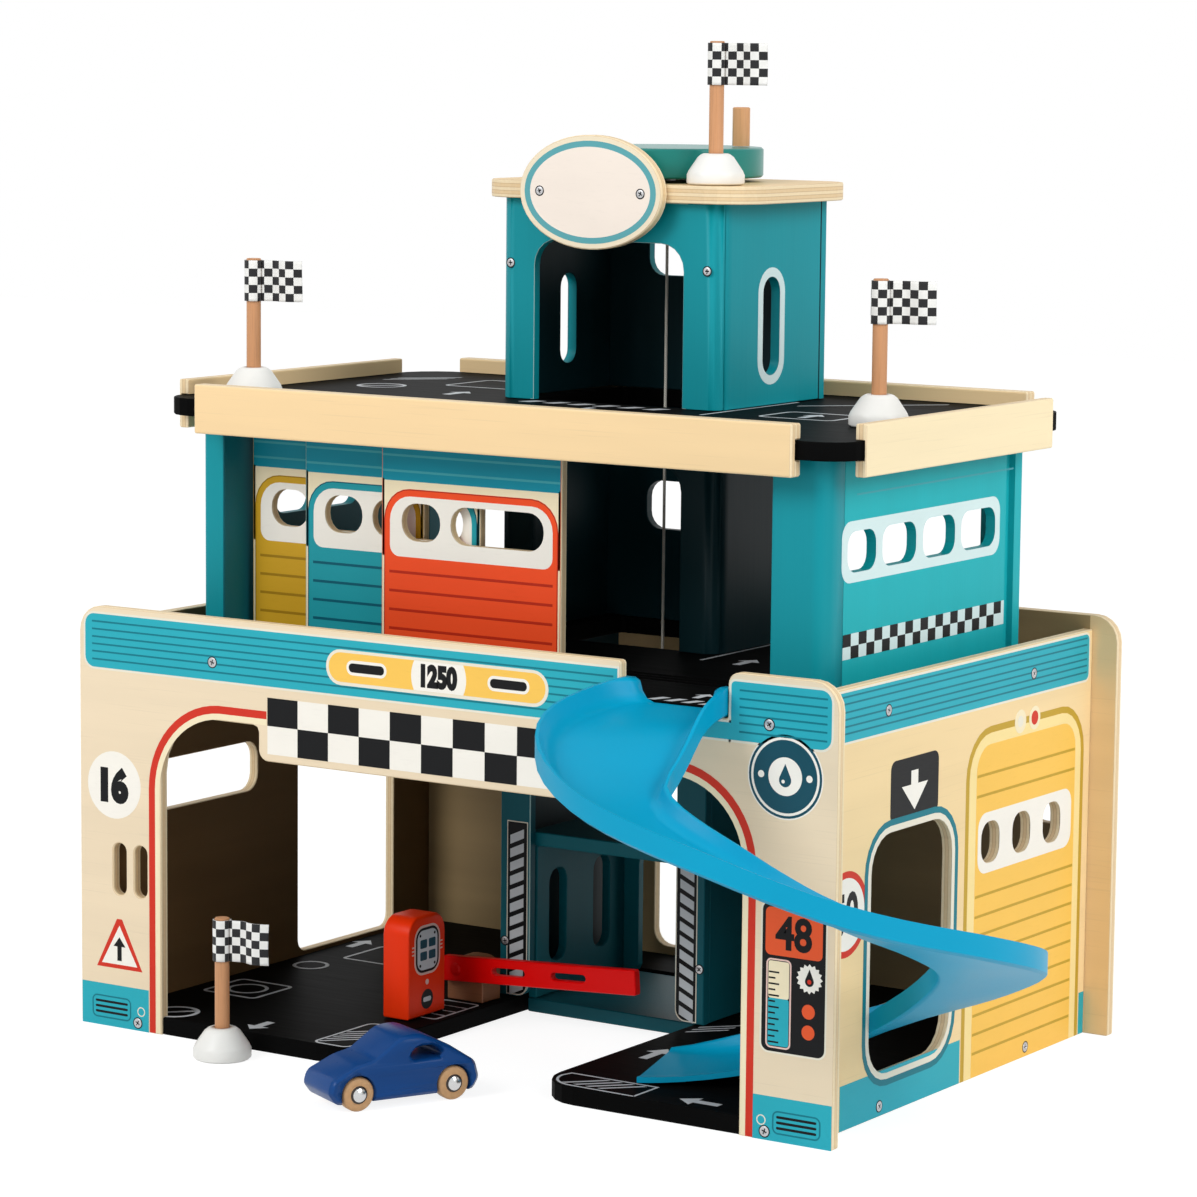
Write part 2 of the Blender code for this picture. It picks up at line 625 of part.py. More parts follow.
def roof_deck(black, wood):
    outline = rounded([(DECK_SIDE, DECK_FRONT, DECK_FRONT_RADIUS),
                       (FRONT_WIDTH - DECK_SIDE, DECK_FRONT, DECK_FRONT_RADIUS),
                       (FRONT_WIDTH - DECK_SIDE, DECK_BACK, DECK_BACK_RADIUS),
                       (DECK_SIDE, DECK_BACK, DECK_BACK_RADIUS)])
    deck = slab("roof_deck", outline, "Z", DECK_LOW, DECK_TOP, black, [well_outline()])
    combine(deck, door_grooves("deck_grooves", DECK_LOW - 1, DECK_LOW + GROOVE_DEPTH), "DIFFERENCE")
    end_left = DECK_SIDE + PARAPET_END_GAP
    end_right = FRONT_WIDTH - end_left
    front = parapet_profile(DECK_FRONT - PARAPET_SLOT, 1, PARAPET_THICKNESS)
    slab("parapet_front", front, "X", end_left, end_right, wood, edge=0.6)
    back = parapet_profile(DECK_BACK + PARAPET_SLOT, -1, PARAPET_THICKNESS)
    slab("parapet_back", back, "X", end_left, end_right, wood, edge=0.6)
    outside = PARAPET_SIDE_THICKNESS - PARAPET_SLOT
    left = parapet_profile(DECK_SIDE - outside, 1, PARAPET_SIDE_THICKNESS, outside)
    slab("parapet_left", left, "Y", PARAPET_SIDE_START, PARAPET_SIDE_END, wood, edge=0.3)
    right = parapet_profile(FRONT_WIDTH - DECK_SIDE + outside, -1, PARAPET_SIDE_THICKNESS, outside)
    slab("parapet_right", right, "Y", PARAPET_SIDE_START, PARAPET_SIDE_END, wood, edge=0.3)


def parapet_profile(outer, way, thickness, outside=PARAPET_SLOT):
    """Section of a parapet: a bar with a slot in its inner face for the edge of the deck."""
    inner = outer + way * thickness
    slot = outer + way * (outside - FIT)
    low = DECK_LOW - PARAPET_BELOW
    high = DECK_TOP + PARAPET_ABOVE
    return rounded([(outer, low, 0.8), (inner, low, 0.8), (inner, DECK_LOW - FIT, 0), (slot, DECK_LOW - FIT, 0),
                    (slot, DECK_TOP + FIT, 0), (inner, DECK_TOP + FIT, 0), (inner, high, 0.8), (outer, high, 0.8)])


def tower_roof(wood, white):
    left = SHAFT_LEFT - ROOF_OVERHANG_LEFT
    right = SHAFT_RIGHT + ROOF_OVERHANG_RIGHT
    front = SHAFT_FRONT - ROOF_OVERHANG_FRONT
    back = SHAFT_BACK + ROOF_OVERHANG_BACK
    bore = ellipse(CRANK_X, CRANK_Y, AXLE_RADIUS + AXLE_CLEARANCE, AXLE_RADIUS + AXLE_CLEARANCE, 24)
    slab("tower_roof", box_outline(left, right, front, back, ROOF_RADIUS), "Z", ROOF_LOW, ROOF_TOP, wood, [bore])
    sign = ellipse(SIGN_CENTRE, SIGN_LEVEL, SIGN_HALF_WIDTH, SIGN_HALF_HEIGHT, 56)
    slab("sign_plate", sign, "Y", front - FIT - PLY, front - FIT, white, edge=0.5)


def lift_cabin(teal, dark):
    carriage = joint_empty("lift_axis", CABIN_LEFT, CABIN_FRONT, CABIN_LOW)
    plan = box_outline(CABIN_LEFT, CABIN_RIGHT, CABIN_FRONT, CABIN_BACK, 0.6)
    hang(slab("cabin_floor", plan, "Z", CABIN_LOW, CABIN_FLOOR_TOP, dark), carriage)
    hang(slab("cabin_roof", plan, "Z", CABIN_ROOF_LOW, CABIN_ROOF_TOP, teal), carriage)
    low = CABIN_FLOOR_TOP + FIT
    high = CABIN_ROOF_LOW - FIT
    side = box_outline(CABIN_FRONT + 0.5, CABIN_BACK, low, high)
    slots = [box_outline(a, b, low + CABIN_SLOT_LOW, low + CABIN_SLOT_HIGH, (b - a) * 0.45) for a, b in CABIN_SLOTS]
    hang(slab("cabin_left", side, "X", CABIN_LEFT, CABIN_LEFT + CABIN_BOARD, teal, slots), carriage)
    hang(slab("cabin_right", side, "X", CABIN_RIGHT - CABIN_BOARD, CABIN_RIGHT, teal, slots), carriage)
    inner_left = CABIN_LEFT + CABIN_BOARD + FIT
    inner_right = CABIN_RIGHT - CABIN_BOARD - FIT
    leg = inner_left + CABIN_BACK_LEG
    other_leg = inner_right - CABIN_BACK_LEG
    lintel = high - CABIN_BACK_LINTEL
    outline = rounded([(inner_left, low, 0), (leg, low, CABIN_BACK_RADIUS), (leg, lintel, CABIN_BACK_RADIUS),
                       (other_leg, lintel, CABIN_BACK_RADIUS), (other_leg, low, CABIN_BACK_RADIUS),
                       (inner_right, low, 0), (inner_right, high, 0), (inner_left, high, 0)])
    hang(slab("cabin_back", outline, "Y", CABIN_BACK - CABIN_BOARD, CABIN_BACK, teal), carriage)


def crank(teal, dowel, metal):
    axis = joint_empty("crank_axis", CRANK_X, CRANK_Y, ROOF_TOP)
    low = ROOF_TOP + CRANK_GAP
    high = low + CRANK_THICKNESS
    soft = 1.0
    disc = [(0, low), (CRANK_RADIUS - soft, low), (CRANK_RADIUS, low + soft),
            (CRANK_RADIUS, high - soft), (CRANK_RADIUS - soft, high), (0, high)]
    hang(turned("crank_disc", disc, (CRANK_X, CRANK_Y), teal, 64), axis)
    turn = math.radians(PEG_TURN)
    peg_spot = (CRANK_X + PEG_OFFSET * math.cos(turn), CRANK_Y + PEG_OFFSET * math.sin(turn))
    peg = [(0, high + FIT), (PEG_RADIUS, high + FIT), (PEG_RADIUS, high + PEG_LENGTH - 0.5),
           (PEG_RADIUS - 0.5, high + PEG_LENGTH), (0, high + PEG_LENGTH)]
    hang(turned("crank_peg", peg, peg_spot, dowel, 24), axis)
    top = ROOF_LOW - FIT
    bottom = top - SPOOL_HEIGHT
    rim = SPOOL_FLANGE_THICKNESS
    spool = [(0, bottom), (SPOOL_FLANGE, bottom), (SPOOL_FLANGE, bottom + rim), (SPOOL_CORE, bottom + rim),
             (SPOOL_CORE, top - rim), (SPOOL_FLANGE, top - rim), (SPOOL_FLANGE, top), (AXLE_RADIUS, top),
             (AXLE_RADIUS, low - FIT), (0, low - FIT)]
    hang(turned("crank_spool", spool, (CRANK_X, CRANK_Y), metal, 32), axis)


def lift_cord(fibre, metal):
    """The cord from the cabin through the screw eye to the spool, and the eye."""
    level = ROOF_LOW - SPOOL_HEIGHT / 2 - FIT
    ring_level = ROOF_LOW - EYE_DROP
    eye = Vector((CORD_X, CORD_Y))
    hub = Vector((CRANK_X, CRANK_Y))
    away = hub - eye
    reach = SPOOL_CORE + FIT + CORD_RADIUS
    tangent_turn = math.asin(reach / away.length)
    run = Matrix.Rotation(tangent_turn, 2) @ away.normalized()
    length = math.sqrt(away.length ** 2 - reach ** 2)
    bend = 2.5
    points = [Vector((CORD_X, CORD_Y, CABIN_ROOF_TOP + FIT + CORD_RADIUS))]
    points.append(Vector((CORD_X, CORD_Y, level - bend)))
    for step in range(1, 5):
        angle = math.pi / 2 * step / 4
        flat = eye + run * (bend * (1 - math.cos(angle)))
        points.append(Vector((flat.x, flat.y, level - bend + bend * math.sin(angle))))
    touch = eye + run * length
    points.append(Vector((touch.x, touch.y, level)))
    curve = bpy.data.curves.new("lift_cord", "CURVE")
    curve.dimensions = "3D"
    curve.bevel_depth = CORD_RADIUS * MM
    curve.bevel_resolution = 2
    curve.use_fill_caps = True
    spline = curve.splines.new("POLY")
    spline.points.add(len(points) - 1)
    for target, point in zip(spline.points, points):
        target.co = (*(point * MM), 1.0)
    curve.materials.append(fibre)
    made = bpy.data.objects.new("lift_cord", curve)
    bpy.context.scene.collection.objects.link(made)
    back_off = -away.normalized() * EYE_RING
    stem = eye + back_off
    maker = bmesh.new()
    ring_steps, wire_steps = 20, 8
    loops = []
    for step in range(ring_steps):
        a = math.tau * step / ring_steps
        loop = []
        for side in range(wire_steps):
            b = math.tau * side / wire_steps
            r = EYE_RING + EYE_WIRE * math.cos(b)
            loop.append(maker.verts.new(Vector((CORD_X + r * math.cos(a), CORD_Y + r * math.sin(a),
                                                ring_level + EYE_WIRE * math.sin(b))) * MM))
        loops.append(loop)
    for step in range(ring_steps):
        for side in range(wire_steps):
            maker.faces.new((loops[step - 1][side - 1], loops[step][side - 1], loops[step][side],
                             loops[step - 1][side]))
    ring = finish_object("cord_eye", maker, metal)
    rod = turned("eye_stem", [(0, ring_level), (EYE_WIRE, ring_level), (EYE_WIRE, ROOF_LOW - FIT),
                              (0, ROOF_LOW - FIT)], stem, metal, 12)
    combine(ring, rod, "UNION")


def along(table, value):
    """Read a smooth curve through the points of a table."""
    value = min(max(value, table[0][0]), table[-1][0])
    slopes = []
    for index in range(len(table)):
        before = table[max(index - 1, 0)]
        after = table[min(index + 1, len(table) - 1)]
        slopes.append((after[1] - before[1]) / (after[0] - before[0]))
    for index in range(len(table) - 1):
        start, low = table[index]
        end, high = table[index + 1]
        if value <= end:
            break
    span = end - start
    t = (value - start) / span
    return ((2 * t ** 3 - 3 * t ** 2 + 1) * low + (t ** 3 - 2 * t ** 2 + t) * span * slopes[index]
            + (3 * t ** 2 - 2 * t ** 3) * high + (t ** 3 - t ** 2) * span * slopes[index + 1])


def ramp_station(travel):
    """Inner point, outer point, their underside levels and the two rail heights at a station of the ramp."""
    turn = min(travel, RAMP_TURN)
    angle = math.radians(RAMP_START_ANGLE + turn)
    way = Vector((math.cos(angle), math.sin(angle)))
    centre = Vector((RAMP_X, RAMP_Y))
    inner_point = centre + way * (RAMP_INNER - along(RAMP_INNER_DRAW, turn))
    outer_point = centre + way * (RAMP_OUTER - along(RAMP_OUTER_DRAW, turn))
    rest = BASE_TOP + FIT
    level = rest + (NOTCH_LOW + FIT - rest) * along(RAMP_FALL, turn)
    share = (travel - turn) / RAMP_TAIL
    if share > 0:
        heading = Vector((-way.y, way.x))
        inner_point += heading * (share * RAMP_TAIL) - way * (RAMP_TAIL_FLARE_INNER * share ** 2)
        outer_point += heading * (share * RAMP_TAIL) + way * (RAMP_TAIL_FLARE_OUTER * share ** 2)
        level = rest + (level - rest) * (1 - share) ** RAMP_TAIL_EASE
    return (inner_point, outer_point, level - along(RAMP_BANK, turn), level,
            RAMP_RAIL * along(RAMP_INNER_RAIL, travel), RAMP_RAIL * along(RAMP_OUTER_RAIL, travel))


def ramp_section(inner_point, outer_point, inner_level, outer_level, inner_rail, outer_rail, wall=RAMP_SHELL):
    """A trough with a hollow floor and thin rails, from the inner rail to the outer one and back."""
    across = outer_point - inner_point
    width = across.length
    across.normalize()
    hollow = 7.0
    corner = 1.6
    halves = []
    for rail in (inner_rail, outer_rail):
        rise = rail - RAMP_SHELL
        halves.append([(0, rail), (wall * 0.64, rail), (wall, rail - 0.15 * rise),
                       (wall + 1.2, RAMP_SHELL + 0.46 * rise), (wall + 3.4, RAMP_SHELL + 0.15 * rise),
                       (wall + hollow, RAMP_SHELL)])
    top = halves[0] + [(width - u, z) for u, z in reversed(halves[1])]
    under = [(width, outer_rail * 0.12), (width - corner, 0), (corner, 0), (0, inner_rail * 0.12)]
    fall = (outer_level - inner_level) / width
    return [(inner_point + across * u, inner_level + fall * u + z) for u, z in top + under]


def ramp(plastic):
    """The spiral ramp, swept from the notch in the front to its tail on the base."""
    first = ramp_station(0)
    left = NOTCH_LEFT + FIT
    right = NOTCH_RIGHT - FIT
    stations = []
    for back in (PLY, 0.6):
        stations.append((Vector((right, back)), Vector((left, back))) + first[2:] + (RAMP_EAR,))
    stations.append((Vector((right, -1.0)), Vector((left, -0.4))) + first[2:] + (RAMP_EAR * 0.7,))
    for step in range(1, RAMP_STEPS + 1):
        stations.append(ramp_station(RAMP_TURN * step / RAMP_STEPS))
    for step in range(1, RAMP_TAIL_STEPS + 1):
        stations.append(ramp_station(RAMP_TURN + RAMP_TAIL * step / RAMP_TAIL_STEPS))
    maker = bmesh.new()
    rings = []
    for station in stations:
        section = ramp_section(*station)
        rings.append([maker.verts.new(Vector((flat.x, flat.y, z)) * MM) for flat, z in section])
    for before, after in zip(rings, rings[1:]):
        for i in range(len(before)):
            maker.faces.new((before[i - 1], before[i], after[i], after[i - 1]))
    maker.faces.new(rings[0])
    maker.faces.new(rings[-1])
    maker.normal_update()
    bmesh.ops.triangulate(maker, faces=[face for face in maker.faces if len(face.verts) > 4])
    return finish_object("ramp", maker, plastic)


def pump(red):
    outline = rounded([(PUMP_Y, BASE_TOP + FIT, 1), (PUMP_Y + PUMP_DEPTH, BASE_TOP + FIT, 1),
                       (PUMP_Y + PUMP_DEPTH, BASE_TOP + PUMP_HEIGHT, PUMP_RADIUS),
                       (PUMP_Y, BASE_TOP + PUMP_HEIGHT, PUMP_RADIUS)])
    made = slab("pump", outline, "X", PUMP_X, PUMP_X + PUMP_WIDTH, red, edge=1.0)
    pivot(made, PUMP_X + PUMP_WIDTH / 2, PUMP_Y + PUMP_DEPTH / 2, BASE_TOP)


def barrier(wood, red, metal):
    low = BASE_TOP + FIT
    high = BASE_TOP + BLOCK_HEIGHT
    axis_level = BASE_TOP + ARM_PIVOT_RISE
    outline = rounded([(BLOCK_X, low, 0.5), (BLOCK_X + BLOCK_WIDTH, low, 0.5),
                       (BLOCK_X + BLOCK_WIDTH, high, BLOCK_RADIUS), (BLOCK_X, high, BLOCK_RADIUS)])
    bore = ellipse(ARM_PIVOT_X, axis_level, PIN_RADIUS + FIT, PIN_RADIUS + FIT, 16)
    slab("barrier_block", outline, "Y", BLOCK_Y, BLOCK_Y + BLOCK_DEPTH, wood, [bore])
    joint = joint_empty("barrier_axis", ARM_PIVOT_X, BLOCK_Y, axis_level)
    half = ARM_HEIGHT / 2
    start = ARM_PIVOT_X - ARM_BACK
    plan = [(start, axis_level - half, 2), (start + ARM_LENGTH, axis_level - half, 1),
            (start + ARM_LENGTH, axis_level + half, 1), (start, axis_level + half, 2)]
    holes = [box_outline(ARM_PIVOT_X + a, ARM_PIVOT_X + b, axis_level - ARM_SLOT_HEIGHT / 2,
                         axis_level + ARM_SLOT_HEIGHT / 2, ARM_SLOT_HEIGHT * 0.48) for a, b in ARM_SLOTS]
    holes.append(ellipse(ARM_PIVOT_X, axis_level, PIN_RADIUS + FIT, PIN_RADIUS + FIT, 16))
    front = BLOCK_Y - FIT - ARM_THICKNESS
    arm = slab("barrier_arm", rounded(plan), "Y", front, BLOCK_Y - FIT, red, holes)
    spin = Matrix.Rotation(-math.radians(ARM_TILT), 4, "Y")
    middle = Matrix.Translation(Vector((ARM_PIVOT_X, BLOCK_Y, axis_level)) * MM)
    arm.data.transform(middle @ spin @ middle.inverted())
    hang(arm, joint)
    head = front - FIT
    profile = [(0, 0), (PIN_HEAD * 0.7, 0), (PIN_HEAD, PIN_HEAD_LENGTH * 0.6), (PIN_HEAD, PIN_HEAD_LENGTH),
               (PIN_RADIUS, PIN_HEAD_LENGTH), (PIN_RADIUS, PIN_HEAD_LENGTH + PIN_LENGTH),
               (0, PIN_HEAD_LENGTH + PIN_LENGTH)]
    pin = turned("barrier_pin", profile, (0, 0), metal, 16)
    lay = Matrix.Translation(Vector((ARM_PIVOT_X, head - PIN_HEAD_LENGTH, axis_level)) * MM)
    pin.data.transform(lay @ Matrix.Rotation(-math.pi / 2, 4, "X"))


def flag(name, x, y, floor, heading, white, dowel, cloth):
    """A checkered flag: a turned base, a dowel in its bore and a wavy cloth round the dowel."""
    low = floor + FIT if floor else 0.0
    bore = FLAG_POLE_RADIUS + FIT
    crown = floor + FLAG_BASE_HEIGHT
    r = FLAG_BASE_RADIUS
    base = [(0, low), (r - 0.8, low), (r, low + 0.8), (r, floor + 4.5), (r * 0.93, floor + 6.5),
            (r * 0.62, crown - 1.6), (r * 0.5, crown - 0.4), (r * 0.42, crown), (bore, crown),
            (bore, floor + FLAG_BORE_FLOOR), (0, floor + FLAG_BORE_FLOOR)]
    turned(name + "_base", base, (x, y), white, 28)
    top = floor + FLAG_HEIGHT
    foot = floor + FLAG_BORE_FLOOR + FIT
    pole = [(0, foot), (FLAG_POLE_RADIUS, foot), (FLAG_POLE_RADIUS, top - 0.3),
            (FLAG_POLE_RADIUS - 0.3, top), (0, top)]
    turned(name + "_pole", pole, (x, y), dowel, 16)
    inner = bore
    outer = inner + FLAG_CLOTH
    steps = 14
    half = FLAG_CLOTH / 2
    near, far = [], []
    for step in range(steps + 1):
        share = step / steps
        u = outer * 0.98 + (FLAG_CLOTH_LENGTH - outer) * share
        swing = FLAG_WAVE * math.sin(share * math.tau * 1.1) * min(1.0, share * 3)
        near.append(Vector((u, swing - half)))
        far.append(Vector((u, swing + half)))
    start = math.asin(half / outer)
    ring = []
    for step in range(1, 18):
        a = start + (math.tau - 2 * start) * step / 18
        ring.append(Vector((outer * math.cos(a), outer * math.sin(a))))
    outline = near + far[::-1] + ring
    spin = Matrix.Rotation(math.radians(heading), 2)
    spot = Vector((x, y))
    high = top - FLAG_CLOTH_DROP
    slab(name + "_cloth", [spot + spin @ p for p in outline], "Z", high - FLAG_CLOTH_HEIGHT, high, cloth,
         [[spot + spin @ p for p in ellipse(0, 0, inner, inner, 16)]], edge=0)


def car(blue, dowel):
    """The small car, built along X with its nose to +X and then turned to its heading."""
    nose = CAR_LENGTH / 2
    tail = -CAR_LENGTH / 2
    front_axle = nose - 14.0
    rear_axle = front_axle - CAR_WHEEL_BASE
    low = CAR_CLEARANCE
    side = [(tail + 3, low, 3), (nose - 4, low, 4), (nose, low + 5.4, 3), (nose - 1.5, low + 11, 5),
            (nose - 14, low + 16.4, 16), (nose - 22, low + 18.2, 8), (nose - 34, low + 26.6, 9),
            (nose - 43, low + 27.4, 12), (nose - 57, low + 21, 14), (tail + 2, low + 12.5, 5), (tail, low + 5, 4)]
    window = rounded([(nose - 37, low + 16, 2.4), (nose - 42, low + 21.5, 5), (nose - 50, low + 21.6, 6),
                      (nose - 57, low + 16, 2.4)])
    half = CAR_WIDTH / 2
    body = slab("car_body", rounded(side), "Y", -half, half, blue, [window], edge=1.6)
    level = CAR_WHEEL_RADIUS
    inner = half - CAR_WHEEL_WIDTH - CAR_WHEEL_GAP
    well = CAR_WHEEL_RADIUS + CAR_WHEEL_GAP
    hole = CAR_AXLE_RADIUS + FIT
    lay = Matrix.Rotation(-math.pi / 2, 4, "X")
    heading = Matrix.Rotation(math.radians(CAR_HEADING), 4, "Z")
    spot = Matrix.Translation(Vector((CAR_X, CAR_Y, 0)) * MM)
    for name, axle in (("car_front_wheels", front_axle), ("car_rear_wheels", rear_axle)):
        shift = Matrix.Translation(Vector((axle, 0, level)) * MM)
        cut = [(0, -half - 2), (well, -half - 2), (well, -inner), (hole, -inner), (hole, inner),
               (well, inner), (well, half + 2), (0, half + 2)]
        arch = turned(name + "_arch", cut, (0, 0), None, 32)
        arch.data.transform(spot @ heading @ shift @ lay)
        combine(body, arch, "DIFFERENCE")
        face = half - 0.2
        back = face - CAR_WHEEL_WIDTH
        hub = CAR_HUB_RADIUS
        side_points = [(hub * 0.55, face + CAR_HUB_PROUD * 0.8), (hub, face + 0.1), (hub + 0.2, face - 0.4),
                       (CAR_WHEEL_RADIUS - 1, face), (CAR_WHEEL_RADIUS, face - 1), (CAR_WHEEL_RADIUS, back + 0.6),
                       (CAR_WHEEL_RADIUS - 0.6, back), (CAR_AXLE_RADIUS, back)]
        profile = [(0, face + CAR_HUB_PROUD)] + side_points
        profile += [(radius, -height) for radius, height in reversed(side_points)]
        profile += [(0, -face - CAR_HUB_PROUD)]
        wheels = turned(name, profile, (0, 0), dowel, 28)
        wheels.data.transform(spot @ heading @ shift @ lay)
        centre = spot @ heading @ shift
        pivot(wheels, *(centre.translation / MM))
    body.data.transform(spot @ heading)


def centre_on_origin():
    """Move everything sideways so that the middle of the whole part's box is over the origin."""
    bpy.context.view_layer.update()
    shown = [made for made in bpy.data.objects if made.type in {"MESH", "CURVE"} and not made.hide_render]
    corners = [made.matrix_world @ Vector(corner) for made in shown for corner in made.bound_box]
    middle = (Vector(map(min, zip(*corners))) + Vector(map(max, zip(*corners)))) / 2
    for made in bpy.data.objects:
        if made.parent is None:
            made.location.x -= middle.x
            made.location.y -= middle.y


def build():
    clear_scene()
    wood = material("birch", (0.80, 0.66, 0.46), 0.5)
    inside = material("birch_inside", (0.35, 0.25, 0.14), 0.6)
    black = material("black_board", (0.02, 0.02, 0.022), 0.45)
    teal = material("teal_paint", (0.03, 0.33, 0.37), 0.4)
    deep_teal = material("deep_teal_paint", (0.02, 0.12, 0.13), 0.5)
    white = material("white_paint", (0.85, 0.85, 0.83), 0.45)
    dowel = material("dowel", (0.62, 0.38, 0.20), 0.6)
    metal = material("steel", (0.65, 0.65, 0.66), 0.3, 1.0)
    ramp_blue = material("ramp_blue", (0.01, 0.38, 0.62), 0.35)
    red = material("red_paint", (0.78, 0.04, 0.01), 0.4)
    car_blue = material("car_blue", (0.01, 0.07, 0.25), 0.4)
    cord_fibre = material("cord", (0.75, 0.74, 0.70), 0.8)
    check = material("check_cloth", (0.60, 0.60, 0.60), 0.8)
    doors = {"door_red": material("door_red_print", (0.75, 0.10, 0.03), 0.45),
             "door_blue": material("door_blue_print", (0.04, 0.27, 0.36), 0.45),
             "door_yellow": material("door_yellow_print", (0.65, 0.48, 0.08), 0.45)}
    ground_storey(wood, black, inside)
    upper_storey(teal)
    sliding_doors(doors)
    gate_faces = (GATE_LEFT, GATE_RIGHT)
    shaft_storey("gate", BASE_TOP, FLOOR_LEVEL, deep_teal, doorway_outline(GATE_TOP, GATE_RADIUS, gate_faces),
                 None, (None, None), False, gate_faces)
    shaft_storey("mid_shaft", FLOOR_TOP, DECK_LOW, deep_teal, doorway_outline(MID_DOOR_TOP, 0),
                 MID_WINDOW, (None, None), True)
    roof_deck(black, wood)
    shaft_storey("tower", DECK_TOP, ROOF_LOW, teal, doorway_outline(TOWER_DOOR_TOP, 0),
                 TOWER_WINDOW, (TOWER_SLOT_LEFT, TOWER_SLOT_RIGHT), True)
    tower_roof(wood, white)
    lift_cabin(teal, deep_teal)
    crank(teal, dowel, metal)
    lift_cord(cord_fibre, metal)
    ramp(ramp_blue)
    pump(red)
    barrier(wood, red, metal)
    flag("flag_roof", SHAFT_RIGHT - FLAG_ROOF_IN, SHAFT_FRONT + FLAG_ROOF_BACK, ROOF_TOP, 8, white, dowel, check)
    flag("flag_deck_left", DECK_SIDE + FLAG_LEFT_IN, DECK_FRONT + FLAG_LEFT_BACK, DECK_TOP, 12, white, dowel, check)
    flag("flag_deck_right", FRONT_WIDTH - DECK_SIDE - FLAG_RIGHT_IN, DECK_FRONT + FLAG_RIGHT_BACK, DECK_TOP, 20,
         white, dowel, check)
    flag("flag_ground", FLAG_GROUND_X, FLAG_GROUND_Y, 0, 5, white, dowel, check)
    car(car_blue, dowel)
    centre_on_origin()


build()
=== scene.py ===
"""A wooden toy garage: its finishes, prints, screws, flag cloths and lift cord, its light and its camera."""
import math

import bmesh
import bpy
from mathutils import Matrix, Vector
from mathutils.geometry import tessellate_polygon


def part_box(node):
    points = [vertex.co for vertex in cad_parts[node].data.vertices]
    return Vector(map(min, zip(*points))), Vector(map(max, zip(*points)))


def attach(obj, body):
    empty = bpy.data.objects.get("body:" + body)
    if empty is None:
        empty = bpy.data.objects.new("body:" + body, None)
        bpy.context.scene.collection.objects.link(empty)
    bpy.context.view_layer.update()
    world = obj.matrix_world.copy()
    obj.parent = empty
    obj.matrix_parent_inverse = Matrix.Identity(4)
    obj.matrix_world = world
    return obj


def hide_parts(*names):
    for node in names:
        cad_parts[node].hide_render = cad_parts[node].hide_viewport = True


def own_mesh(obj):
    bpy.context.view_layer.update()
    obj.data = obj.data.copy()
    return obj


MM = 0.001
# The garage is drawn in millimetres from its front left corner, and this point of it is the frame's origin.
ORIGIN = Vector((244.449, 69.251, 0.0))
X, Y, Z = range(3)

# Where the printed faces lie in the drawing
FRONT_FACE = 0.0
BACK_FACE = 255.0
LEFT_FACE = 12.5
RIGHT_FACE = 387.5
UPPER_LEFT_FACE = 35.0
UPPER_RIGHT_FACE = 365.0
SHAFT_FACE = 129.5
SIGN_FACE = 119.2
PUMP_FACE = 143.5
GROUND_TOP = 8.0
STOREY_TOP = 178.0
DECK_TOP = 287.5

# Each layer of ink stands this far above the one under it, and its underside sinks this far into the board.
INK_LAYER = 0.05
INK_SINK = 0.02

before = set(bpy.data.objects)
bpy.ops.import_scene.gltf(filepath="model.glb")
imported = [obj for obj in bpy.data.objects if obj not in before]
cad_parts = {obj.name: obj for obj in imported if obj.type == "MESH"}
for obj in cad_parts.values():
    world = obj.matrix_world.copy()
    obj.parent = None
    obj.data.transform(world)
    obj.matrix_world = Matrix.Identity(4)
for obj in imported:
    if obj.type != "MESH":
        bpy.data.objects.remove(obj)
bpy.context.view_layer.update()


def spot(x, y, z):
    """A point of the garage drawing, in the frame's metres."""
    return (Vector((x, y, z)) - ORIGIN) * MM


def colour(red, green, blue):
    """A colour as a picture holds it, 0 to 255, in the linear values that a shader takes."""
    linear = []
    for part in (red, green, blue):
        share = part / 255
        linear.append(share / 12.92 if share <= 0.04045 else ((share + 0.055) / 1.055) ** 2.4)
    return (*linear, 1.0)


def scaled(tone, share):
    return (tone[0] * share, tone[1] * share, tone[2] * share, 1.0)


# Materials

class Value:
    """A socket inside a material, on which sums are written as Python expressions."""

    def __init__(self, finish, socket):
        self.finish = finish
        self.socket = socket

    def maths(self, operation, *others):
        return self.finish.node("ShaderNodeMath", {"operation": operation}, self, *others)

    def __add__(self, other):
        return self.maths("ADD", other)

    def __sub__(self, other):
        return self.maths("SUBTRACT", other)

    def __rsub__(self, other):
        return self.finish.node("ShaderNodeMath", {"operation": "SUBTRACT"}, other, self)

    def __mul__(self, other):
        return self.maths("MULTIPLY", other)

    def __gt__(self, other):
        return self.maths("GREATER_THAN", other)

    def __lt__(self, other):
        return self.maths("LESS_THAN", other)

    __radd__ = __add__
    __rmul__ = __mul__

    def eased(self, low, high):
        """Nothing below low, all above high, and a soft step between."""
        soft = {"interpolation_type": "SMOOTHSTEP"}
        return self.finish.node("ShaderNodeMapRange", soft, self, low, high, 0.0, 1.0)


